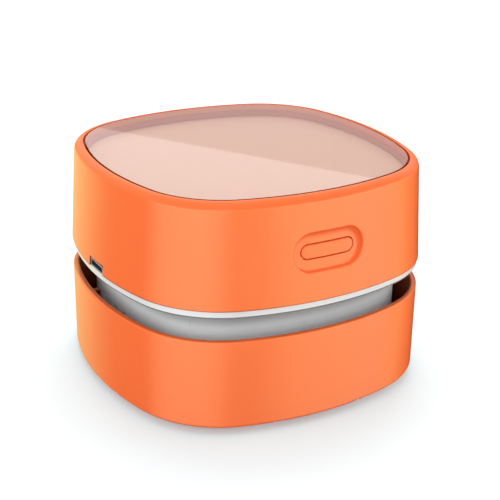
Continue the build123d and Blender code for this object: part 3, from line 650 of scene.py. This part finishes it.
# painted shade on the dip around the button, through the orange_dip material
tint("housing_shell", orange_dip, in_dip)
# painted shade inside the cup, below its lip
tint("cup_shell", orange_deep_shade, in_cup)
# painted shade on the inner side of the cup's lip
tint("cup_shell", orange_half_shade, in_lip)
# painted shade: the socket's inside, behind its front rim, is painted dark
tint("socket_shell", plunger_plastic, in_socket)
tint("window_plate", window_edge, on_edge)

# ---------------------------------------------------------------- dark bead under the ring, a painted shadow
BEAD_DEPTH, BEAD_WIDTH = 0.5 * MM, 2.2 * MM
BEAD_SET_BACK = 0.3 * MM
EDGE_MARGIN = 0.5 * MM      # how far in the ring's outer edge may lie
TURN_DIGITS = 3             # vertices whose directions agree to so many digits lie in line


def make_shadow_bead():
    """A thin dark bead, a painted shadow under the ring, that follows the ring's outer edge along
    its underside.
    """
    outermost = {}
    for vertex in bpy.data.objects["ring_band"].data.vertices:
        if vertex.co.z < ring_low.z + WELD:
            turn = round(vertex.co.to_2d().angle_signed(Vector((1, 0))), TURN_DIGITS)
            if turn not in outermost or outermost[turn].length < vertex.co.xy.length:
                outermost[turn] = vertex.co.xy
    rim = [outermost[turn] for turn in sorted(outermost)]
    rim = [place for place in rim if place.length > ring_high.x - EDGE_MARGIN]
    top, bottom = ring_low.z, ring_low.z - BEAD_DEPTH
    outer, inner = BEAD_SET_BACK, BEAD_SET_BACK + BEAD_WIDTH
    work = bmesh.new()
    loops = [
        [work.verts.new((*(place * (1 - inset / place.length)), z)) for place in rim]
        for inset, z in ((outer, top), (outer, bottom), (inner, bottom), (inner, top))
    ]
    for low, high in zip(loops, loops[1:] + loops[:1]):
        for i in range(len(rim)):
            j = (i + 1) % len(rim)
            work.faces.new((low[i], low[j], high[j], high[i]))
    bmesh.ops.recalc_face_normals(work, faces=work.faces)
    mesh = bpy.data.meshes.new("ring_bead")
    work.to_mesh(mesh)
    work.free()
    smooth_faces(mesh)
    new_piece("ring_bead", mesh, "head", shadow_bead_grey, "rubber_grey")


make_shadow_bead()


# ---------------------------------------------------------------- geometry node trees
def new_tree(name, numbers, others=()):
    """A geometry tree that takes a geometry, a material, and the named numbers and others."""
    tree = bpy.data.node_groups.new(name, "GeometryNodeTree")
    inputs = [("Geometry", "NodeSocketGeometry"), ("Material", "NodeSocketMaterial"), *others]
    for label, kind in inputs + [(label, "NodeSocketFloat") for label in numbers]:
        tree.interface.new_socket(label, in_out="INPUT", socket_type=kind)
    tree.interface.new_socket("Geometry", in_out="OUTPUT", socket_type="NodeSocketGeometry")
    return tree, tree.nodes.new("NodeGroupInput").outputs


def end_tree(tree, geometry, material):
    """Realizes the instances, sets the material and ends the tree."""
    solid = output(tree, "GeometryNodeRealizeInstances", {"Geometry": geometry})
    coloured = output(tree, "GeometryNodeSetMaterial", {"Geometry": solid, "Material": material})
    add_node(tree, "NodeGroupOutput", {"Geometry": coloured})


def grown(name, tree, points, values, body, slot, *replaced):
    """Runs a tree on a mesh of points and keeps its result as a plain mesh piece."""
    seed_mesh = bpy.data.meshes.new(name + "_points")
    seed_mesh.from_pydata(points, [], [])
    source = bpy.data.objects.new(name + "_source", seed_mesh)
    scene.collection.objects.link(source)
    growth = source.modifiers.new("growth", "NODES")
    growth.node_group = tree
    for item in tree.interface.items_tree:
        if item.in_out == "INPUT" and item.name in values:
            growth[item.identifier] = values[item.name]
    depsgraph = bpy.context.evaluated_depsgraph_get()
    mesh = bpy.data.meshes.new_from_object(source.evaluated_get(depsgraph), depsgraph=depsgraph)
    bpy.data.objects.remove(source)
    new_piece(name, mesh, body, values["Material"], slot, *replaced)


def joined(tree, *geometries):
    node = tree.nodes.new("GeometryNodeJoinGeometry")
    for geometry in reversed(geometries):
        tree.links.new(geometry, node.inputs["Geometry"])
    return node.outputs["Geometry"]


def raised(tree, geometry, height):
    sockets = {"Geometry": geometry, "Translation": to_vector(tree, Z=height)}
    return output(tree, "GeometryNodeTransform", sockets)


def shifted(tree, geometry, **sockets):
    return output(tree, "GeometryNodeSetPosition", {"Geometry": geometry, **sockets})


def instanced(tree, points, instance, **sockets):
    sockets = {"Points": points, "Instance": instance, **sockets}
    return output(tree, "GeometryNodeInstanceOnPoints", sockets)


def swept(tree, curve, sides, radius):
    """A solid with a round section of so many sides along a curve."""
    circle = {"Resolution": sides, "Radius": radius}
    section = output(tree, "GeometryNodeCurvePrimitiveCircle", circle)
    sockets = {"Curve": curve, "Profile Curve": section, "Fill Caps": True}
    return output(tree, "GeometryNodeCurveToMesh", sockets)


def position(tree):
    return output(tree, "GeometryNodeInputPosition")


def any_number(tree, low, high, seed):
    return output(tree, "FunctionNodeRandomValue", {2: low, 3: high, "Seed": seed}, which=1)


def islands(node):
    """(low corner, high corner) of each separate solid of a CAD node, sorted by place."""
    work = bmesh.new()
    work.from_mesh(nodes[node].data)
    bmesh.ops.remove_doubles(work, verts=work.verts, dist=WELD)
    left, boxes = set(work.verts), []
    while left:
        reached, front = set(), [left.pop()]
        while front:
            vertex = front.pop()
            reached.add(vertex)
            for edge in vertex.link_edges:
                other = edge.other_vert(vertex)
                if other in left:
                    left.discard(other)
                    front.append(other)
        corners = [[v.co[axis] for v in reached] for axis in range(3)]
        boxes.append((Vector(map(min, corners)), Vector(map(max, corners))))
    work.free()
    return sorted(boxes, key=lambda pair: tuple(round(c, 5) for c in pair[0]))


def middles(boxes, level):
    """The middle of each box seen from above, at the height that `level` gives for the box."""
    return [((low.x + high.x) / 2, (low.y + high.y) / 2, level(low, high)) for low, high in boxes]


# ---------------------------------------------------------------- bristles
ROOT_SIDES = 24
ROOT_RADIUS, TIP_RADIUS = 0.5 * MM, 0.95 * MM
ROOT_DEPTH = 1.0 * MM       # how deep a tuft sits in the holder
HAIR_SIDES = 5
HAIR_RADIUS = 0.07 * MM
HAIR_TAPER = 0.45           # share of its radius that a hair keeps at its tip
HAIR_TRIM = 0.9             # shortest hair as a share of the longest
HAIRS_IN_TUFT = 55
BRISTLE_SEED = 7


def bristle_tree():
    """Tufts of tapered hairs that fan out from round roots."""
    tree, given = new_tree(
        "bristle_tufts",
        ("Root Radius", "Tip Radius", "Length", "Hair Radius", "Hair Density"),
        [("Seed", "NodeSocketInt")],
    )
    disc = {"Vertices": ROOT_SIDES, "Radius": given["Root Radius"]}
    root = output(tree, "GeometryNodeMeshCircle", disc, fill_type="NGON")
    roots = output(
        tree,
        "GeometryNodeDistributePointsOnFaces",
        {"Mesh": root, "Density": given["Hair Density"], "Seed": given["Seed"]},
    )
    place = split(tree, position(tree))
    widening = maths(tree, "DIVIDE", given["Tip Radius"], given["Root Radius"])
    fan = maths(tree, "SUBTRACT", widening, 1.0)
    lean = to_vector(
        tree,
        X=maths(tree, "MULTIPLY", place["X"], fan),
        Y=maths(tree, "MULTIPLY", place["Y"], fan),
        Z=maths(tree, "MULTIPLY", given["Length"], -1.0),
    )
    aim = output(tree, "FunctionNodeAlignRotationToVector", {"Vector": lean}, axis="Z")
    hair = output(
        tree,
        "GeometryNodeMeshCone",
        {
            "Vertices": HAIR_SIDES,
            "Radius Top": maths(tree, "MULTIPLY", given["Hair Radius"], HAIR_TAPER),
            "Radius Bottom": given["Hair Radius"],
            "Depth": given["Length"],
        },
    )
    trim = any_number(tree, HAIR_TRIM, 1.0, given["Seed"])
    tuft = instanced(tree, roots, hair, Rotation=aim, Scale=trim)
    spin = to_vector(tree, Z=any_number(tree, 0.0, 2 * pi, given["Seed"]))
    tufts = instanced(tree, given["Geometry"], tuft, Rotation=spin)
    end_tree(tree, tufts, given["Material"])
    return tree


def make_bristles():
    tufts = islands("brush_bristles")
    root_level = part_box("brush_holder")[0].z + ROOT_DEPTH
    values = {
        "Root Radius": ROOT_RADIUS,
        "Tip Radius": TIP_RADIUS,
        "Length": root_level - tufts[0][0].z,
        "Hair Radius": HAIR_RADIUS,
        "Hair Density": HAIRS_IN_TUFT / (pi * ROOT_RADIUS**2),
        "Seed": BRISTLE_SEED,
        "Material": bristle_nylon,
    }
    roots = middles(tufts, lambda low, high: root_level)
    grown(
        "bristle_tufts", bristle_tree(), roots, values, "bin", "bristle_nylon", "brush_bristles"
    )


make_bristles()

# ---------------------------------------------------------------- filter weave
WEAVE_MARGIN = 0.1 * MM
WEAVE_PITCH, WEAVE_CRIMP = 0.9 * MM, 0.075 * MM
STRAND_RADIUS, STRAND_SIDES = 0.17 * MM, 4


def weave_tree():
    """A round disc of plain-woven strands, each a wavy line of two steps to every crossing."""
    tree, given = new_tree("woven_disc", ("Radius", "Pitch", "Strand Radius", "Crimp"))
    width = maths(tree, "MULTIPLY", given["Radius"], 2.0)
    strands = maths(tree, "FLOOR", maths(tree, "DIVIDE", width, given["Pitch"]))
    half = maths(tree, "MULTIPLY", maths(tree, "MULTIPLY", given["Pitch"], strands), 0.5)
    start = maths(tree, "MULTIPLY", half, -1.0)
    wave = maths(tree, "DIVIDE", pi, given["Pitch"])
    ways = []
    for lift, turn in ((1.0, 0), (-1.0, pi / 2)):
        ends = {"Start": to_vector(tree, X=start), "End": to_vector(tree, X=half)}
        line = output(tree, "GeometryNodeCurvePrimitiveLine", ends)
        steps = maths(tree, "MULTIPLY_ADD", strands, 2.0, 1.0)
        strand = output(tree, "GeometryNodeResampleCurve", {"Curve": line, "Count": steps})
        row = output(
            tree,
            "GeometryNodeMeshLine",
            {
                "Count": maths(tree, "ADD", strands, 1.0),
                "Start Location": to_vector(tree, Y=start),
                "Offset": to_vector(tree, Y=given["Pitch"]),
            },
        )
        laid = instanced(tree, row, strand)
        loose = output(tree, "GeometryNodeRealizeInstances", {"Geometry": laid})
        here = position(tree)
        place = split(tree, here)
        wave_x = maths(tree, "COSINE", maths(tree, "MULTIPLY", place["X"], wave))
        wave_y = maths(tree, "COSINE", maths(tree, "MULTIPLY", place["Y"], wave))
        rise = maths(tree, "MULTIPLY", maths(tree, "MULTIPLY", wave_x, wave_y), given["Crimp"])
        wavy = shifted(tree, loose, Offset=to_vector(tree, Z=maths(tree, "MULTIPLY", rise, lift)))
        outside = output(
            tree,
            "FunctionNodeCompare",
            {0: length(tree, here), 1: given["Radius"]},
            data_type="FLOAT",
            operation="GREATER_THAN",
        )
        cut = output(tree, "GeometryNodeDeleteGeometry", {"Geometry": wavy, "Selection": outside})
        solid = swept(tree, cut, STRAND_SIDES, given["Strand Radius"])
        turned = {"Geometry": solid, "Rotation": (0, 0, turn)}
        ways.append(output(tree, "GeometryNodeTransform", turned))
    placed = instanced(tree, given["Geometry"], joined(tree, *ways))
    end_tree(tree, placed, given["Material"])
    return tree


def make_weave():
    values = {
        "Radius": mesh_high.x - WEAVE_MARGIN,
        "Pitch": WEAVE_PITCH,
        "Strand Radius": STRAND_RADIUS,
        "Crimp": WEAVE_CRIMP,
        "Material": filter_cloth,
    }
    middle = [(0, 0, (mesh_low.z + mesh_high.z) / 2)]
    grown("filter_weave", weave_tree(), middle, values, "filter", "mesh_fabric", "filter_mesh")


make_weave()

# ---------------------------------------------------------------- screws
THREAD_PITCH = 0.75 * MM
RECESS_WIDTH, RECESS_DEPTH = 0.42 * MM, 0.6 * MM
RECESS_REACH = 1.25             # length of the cross as a share of the head's radius
DOME_SHARE = 0.35               # height of the dome as a share of the head's height
CORE_SHARE = 0.78               # radius under the thread as a share of the shank's radius
HEAD_SIDES, HEAD_RINGS, SHANK_SIDES = 32, 5, 18
TURN_STEPS, RIDGE_SIDES = 20, 4     # of the thread
SCREW_SETS = (
    # piece, CAD node, body, head radius, head height, sunk, shank radius, heads up
    ("clamp_screws", "housing_screws", "head", 1.9 * MM, 1.3 * MM, False, 1.0 * MM, False),
    ("diffuser_screws", "cover_screws", "head", 1.5 * MM, 0.9 * MM, False, 0.8 * MM, True),
    ("circuit_screws", "board_screws", "head", 1.5 * MM, 0.9 * MM, False, 0.8 * MM, True),
    ("plate_screws", "brush_screws", "bin", 1.5 * MM, 0.9 * MM, True, 0.8 * MM, False),
)


def screw_tree():
    """Self-tapping screws: a cross-recessed head over the seat and a threaded shank below it."""
    of_head = ("Head Radius", "Under Radius", "Head Bottom", "Head Top", "Dome")
    of_recess = ("Recess Width", "Recess Depth")
    of_shank = ("Shank Radius", "Length", "Thread Pitch")
    tree, given = new_tree(
        "tapping_screws", of_head + of_recess + of_shank, [("Turn", "NodeSocketVector")]
    )
    height = maths(tree, "SUBTRACT", given["Head Top"], given["Head Bottom"])
    plug = add_node(
        tree,
        "GeometryNodeMeshCone",
        {
            "Vertices": HEAD_SIDES,
            "Fill Segments": HEAD_RINGS,
            "Radius Top": given["Head Radius"],
            "Radius Bottom": given["Under Radius"],
            "Depth": maths(tree, "SUBTRACT", height, given["Dome"]),
        },
    ).outputs
    place = split(tree, position(tree))
    reach = length(tree, to_vector(tree, X=place["X"], Y=place["Y"]))
    share = maths(tree, "DIVIDE", reach, given["Head Radius"])
    fall = maths(tree, "SUBTRACT", 1.0, maths(tree, "MULTIPLY", share, share))
    dome = to_vector(tree, Z=maths(tree, "MULTIPLY", fall, given["Dome"]))
    head = shifted(tree, plug["Mesh"], Selection=plug["Top"], Offset=dome)
    long_side = maths(tree, "MULTIPLY", given["Head Radius"], RECESS_REACH)
    narrow = given["Recess Width"]
    deep = maths(tree, "MULTIPLY", given["Recess Depth"], 2.0)  # half of it is over the head
    for wide, across in ((long_side, narrow), (narrow, long_side)):
        size = to_vector(tree, X=wide, Y=across, Z=deep)
        bar = raised(tree, output(tree, "GeometryNodeMeshCube", {"Size": size}), height)
        cut = {"Mesh 1": head, "Mesh 2": bar}
        head = output(
            tree, "GeometryNodeMeshBoolean", cut, operation="DIFFERENCE", solver="EXACT"
        )
    head = raised(tree, head, given["Head Bottom"])
    core_radius = maths(tree, "MULTIPLY", given["Shank Radius"], CORE_SHARE)
    tip_length = given["Shank Radius"]
    above_tip = maths(tree, "SUBTRACT", given["Length"], tip_length)
    core_length = maths(tree, "ADD", above_tip, given["Head Bottom"])
    core = output(
        tree,
        "GeometryNodeMeshCylinder",
        {"Vertices": SHANK_SIDES, "Radius": core_radius, "Depth": core_length},
    )
    half_core = maths(tree, "MULTIPLY", core_length, 0.5)
    core = raised(tree, core, maths(tree, "SUBTRACT", given["Head Bottom"], half_core))
    cone = {
        "Vertices": SHANK_SIDES,
        "Radius Top": core_radius,
        "Radius Bottom": 0.0,
        "Depth": tip_length,
    }
    tip = output(tree, "GeometryNodeMeshCone", cone)
    tip = raised(tree, tip, maths(tree, "MULTIPLY", given["Length"], -1.0))
    thread_length = maths(tree, "SUBTRACT", core_length, given["Thread Pitch"])
    spiral = output(
        tree,
        "GeometryNodeCurveSpiral",
        {
            "Resolution": TURN_STEPS,
            "Rotations": maths(tree, "DIVIDE", thread_length, given["Thread Pitch"]),
            "Start Radius": core_radius,
            "End Radius": core_radius,
            "Height": thread_length,
        },
    )
    ridge = maths(tree, "SUBTRACT", given["Shank Radius"], core_radius)
    thread = swept(tree, spiral, RIDGE_SIDES, ridge)
    thread = raised(tree, thread, maths(tree, "SUBTRACT", tip_length, given["Length"]))
    whole = joined(tree, head, core, tip, thread)
    placed = instanced(tree, given["Geometry"], whole, Rotation=given["Turn"])
    end_tree(tree, placed, given["Material"])
    return tree


def make_screws(tree, piece, node, body, head_radius, head_height, sunk, shank_radius, heads_up):
    """A set of like screws, whose heads are sunk in their seats or stand on them."""
    places = islands(node)
    above = 0 if sunk else head_height
    if heads_up:
        seats = middles(places, lambda low, high: high.z - above)
    else:
        seats = middles(places, lambda low, high: low.z + above)
    values = {
        "Head Radius": head_radius,
        "Under Radius": shank_radius if sunk else head_radius,
        "Head Bottom": -head_height if sunk else 0.0,
        "Head Top": above,
        "Dome": 0.0 if sunk else DOME_SHARE * head_height,
        "Shank Radius": shank_radius,
        "Length": places[0][1].z - places[0][0].z - above,
        "Thread Pitch": THREAD_PITCH,
        "Recess Width": RECESS_WIDTH,
        "Recess Depth": RECESS_DEPTH,
        "Turn": (0.0, 0.0, 0.0) if heads_up else (pi, 0.0, 0.0),
        "Material": zinc,
    }
    grown(piece, tree, seats, values, body, "steel", node)


screws = screw_tree()
for screw_set in SCREW_SETS:
    make_screws(screws, *screw_set)

# ---------------------------------------------------------------- studio
# ring of cards around the object
SCREEN_RADIUS = 0.15
SCREEN_BOTTOM, SCREEN_TOP = -0.14, 0.085
SCREEN_SIDES = 96
SCREEN_PEAK = 3.0               # brightness that the ramp's full colour stands for
SCREEN_LEAN = 3.6               # brighter towards its top, per metre
# light that the walls mirror: azimuth from the front towards the right, brightness, tint
WHITE, CREAM, WARM = (1.0, 1.0, 0.95), (1.05, 1.0, 0.82), (1.2, 1.0, 0.43)
AMBER, RUST = (1.6, 1.0, 0.42), (3.2, 1.0, 0.35)
SCREEN_BANDS = (
    (-180, 0.95, WARM),
    (-152, 1.08, WARM),
    (-141, 0.9, WARM),
    (-129, 0.4, WARM),
    (-121, 0.2, RUST),
    (-104, 0.1, CREAM),
    (-94, 0.8, CREAM),
    (-84, 1.9, WHITE),
    (-75, 2.4, WHITE),
    (-60, 2.85, WHITE),
    (-42, 2.95, WHITE),
    (-33, 2.55, WHITE),
    (-19, 1.2, CREAM),
    (-8, 1.2, CREAM),
    (-2, 1.5, CREAM),
    (4, 2.35, CREAM),
    (14, 2.9, CREAM),
    (35, 2.8, CREAM),
    (50, 2.2, CREAM),
    (60, 1.75, AMBER),
    (71, 0.9, AMBER),
    (78, 0.5, RUST),
    (92, 0.22, RUST),
    (115, 0.0, RUST),
    (150, 0.0, WARM),
    (180, 0.95, WARM),
)
SKY_LIGHT = 0.8                 # on the object
SKY_GLOSS = 0.1                 # as gloss mirrors it
FLOOR_REACH = 3.0
FLOOR_BOUNCE = 0.55             # share of the light that the floor throws back at the object
FLOOR_TONE = (0.62, 0.8, 0.82)  # and how it is seen
# glow added to it, by metres from the middle: less red close by, where the orange walls tint it
FLOOR_LIFT = (
    (0.047, (0.24, 0.24, 0.25)),
    (0.06, (0.305, 0.24, 0.246)),
    (0.072, (0.345, 0.24, 0.245)),
    (0.2, (0.375, 0.25, 0.25)),
    (0.6, 1.0),
)
# the edge that the two cards behind the object share, lengthened both ways, and their light
CARD_EDGE = Vector((0.178, 0.571, 0.2231)), Vector((0.341, 0.430, 0.2467))
CARD_LENGTHENING = 3
CARD_HEIGHT = Vector((0, 0, 0.5))
UPPER_CARD_LIGHT, LOWER_CARD_LIGHT = 1.45, 0.95
LAMP_SIZE = 0.6
LAMP_AIM = Vector((0, 0, 0.03))
LAMPS = {       # place and power
    "top_lamp": ((0.2, 0.4, 0.8), 3.2),
    "front_lamp": ((-0.45, -0.9, 0.5), 2.6),
    "left_lamp": ((-0.9, 0.1, 0.3), 1.7),
    "right_lamp": ((0.9, -0.25, 0.3), 1.3),
}


def stage_piece(name, vertices, faces, material, glossy_only=False):
    """A piece of the studio, which only mirror rays see if it is glossy_only."""
    mesh = bpy.data.meshes.new(name)
    mesh.from_pydata(vertices, [], faces)
    mesh.materials.append(material)
    piece = bpy.data.objects.new(name, mesh)
    scene.collection.objects.link(piece)
    if glossy_only:
        piece.visible_camera = False
        piece.visible_diffuse = False
        piece.visible_transmission = False
        piece.visible_volume_scatter = False
        piece.visible_shadow = False
    return piece


def ray_kinds(tree):
    """The kinds of ray, and 1 for those straight from the camera or through a clear piece."""
    path = add_node(tree, "ShaderNodeLightPath").outputs
    return path, maths(tree, "MAXIMUM", path["Is Camera Ray"], path["Is Transmission Ray"])


def make_floor():
    """Floor that is near white where it is seen, keeps the shadow and is clear from below."""
    material, tree = empty_material("studio_floor")
    path, direct = ray_kinds(tree)
    seen = maths(tree, "MAXIMUM", direct, path["Is Glossy Ray"])
    tone = ramp(tree, seen, (0, FLOOR_BOUNCE), (1, FLOOR_TONE))
    paint = output(tree, "ShaderNodeBsdfDiffuse", {"Color": tone})
    lift = ramp(tree, length(tree, object_position(tree)), *FLOOR_LIFT)
    glow = output(tree, "ShaderNodeEmission", {"Color": lift, "Strength": seen})
    lit = output(tree, "ShaderNodeAddShader", {0: paint, 1: glow})
    show(tree, mixed(tree, facing_back(tree), lit, output(tree, "ShaderNodeBsdfTransparent")))
    corners = [
        (x * FLOOR_REACH, y * FLOOR_REACH, 0) for x, y in ((-1, -1), (1, -1), (1, 1), (-1, 1))
    ]
    floor = stage_piece("studio_floor", corners, [(0, 1, 2, 3)], material)
    floor.visible_glossy = False


def make_screen():
    """Ring of light and dark bands that only mirror rays see."""
    material, tree = empty_material("screen_bands")
    place = split(tree, object_position(tree))
    angle = maths(tree, "ARCTAN2", place["X"], maths(tree, "MULTIPLY", place["Y"], -1.0))
    turn = maths(tree, "ADD", maths(tree, "DIVIDE", angle, 2 * pi), 0.5)
    stops = [
        (azimuth / 360 + 0.5, shaded(tone, light / SCREEN_PEAK))
        for azimuth, light, tone in SCREEN_BANDS
    ]
    lean = maths(tree, "MULTIPLY_ADD", place["Z"], SCREEN_LEAN * SCREEN_PEAK, SCREEN_PEAK)
    bands = {"Color": ramp(tree, turn, *stops), "Strength": lean}
    show(tree, output(tree, "ShaderNodeEmission", bands))
    count = SCREEN_SIDES
    around = [(sin(2 * pi * i / count), -cos(2 * pi * i / count)) for i in range(count)]
    vertices = [
        (SCREEN_RADIUS * x, SCREEN_RADIUS * y, z)
        for z in (SCREEN_BOTTOM, SCREEN_TOP)
        for x, y in around
    ]
    faces = [(i, (i + 1) % count, (i + 1) % count + count, i + count) for i in range(count)]
    stage_piece("band_screen", vertices, faces, material, glossy_only=True)


def make_back_cards():
    """Two cards behind the object whose shared edge the top window mirrors."""
    along = CARD_EDGE[1] - CARD_EDGE[0]
    start = CARD_EDGE[0] - CARD_LENGTHENING * along
    end = CARD_EDGE[1] + CARD_LENGTHENING * along
    for name, strength, rise in (
        ("upper_card", UPPER_CARD_LIGHT, CARD_HEIGHT),
        ("lower_card", LOWER_CARD_LIGHT, -CARD_HEIGHT),
    ):
        material, tree = empty_material(name)
        light = {"Color": (1, 1, 1, 1), "Strength": strength}
        show(tree, output(tree, "ShaderNodeEmission", light))
        corners = [start, end, end + rise, start + rise]
        stage_piece(name, corners, [(0, 1, 2, 3)], material, glossy_only=True)


def make_world():
    """Even light that is white where it is seen and dim where gloss mirrors it."""
    world = bpy.data.worlds.new("studio_world")
    scene.world = world
    world.use_nodes = True
    tree = world.node_tree
    tree.nodes.clear()
    path, seen = ray_kinds(tree)
    direct = maths(tree, "MULTIPLY_ADD", seen, 1.0 - SKY_LIGHT, SKY_LIGHT)
    gloss = maths(tree, "MULTIPLY", path["Is Glossy Ray"], SKY_GLOSS - SKY_LIGHT)
    light = {"Color": (1, 1, 1, 1), "Strength": maths(tree, "ADD", direct, gloss)}
    glow = output(tree, "ShaderNodeBackground", light)
    add_node(tree, "ShaderNodeOutputWorld", {"Surface": glow})


def add_lamp(name, place, power):
    lamp = bpy.data.lights.new(name, "AREA")
    lamp.shape = "SQUARE"
    lamp.size = LAMP_SIZE
    lamp.energy = power
    holder = bpy.data.objects.new(name, lamp)
    scene.collection.objects.link(holder)
    holder.location = place
    holder.rotation_mode = "QUATERNION"
    holder.rotation_quaternion = (LAMP_AIM - Vector(place)).to_track_quat("-Z", "Y")
    holder.visible_glossy = False


make_floor()
make_screen()
make_back_cards()
make_world()
for name, (place, power) in LAMPS.items():
    add_lamp(name, place, power)

scene.view_settings.view_transform = "Standard"
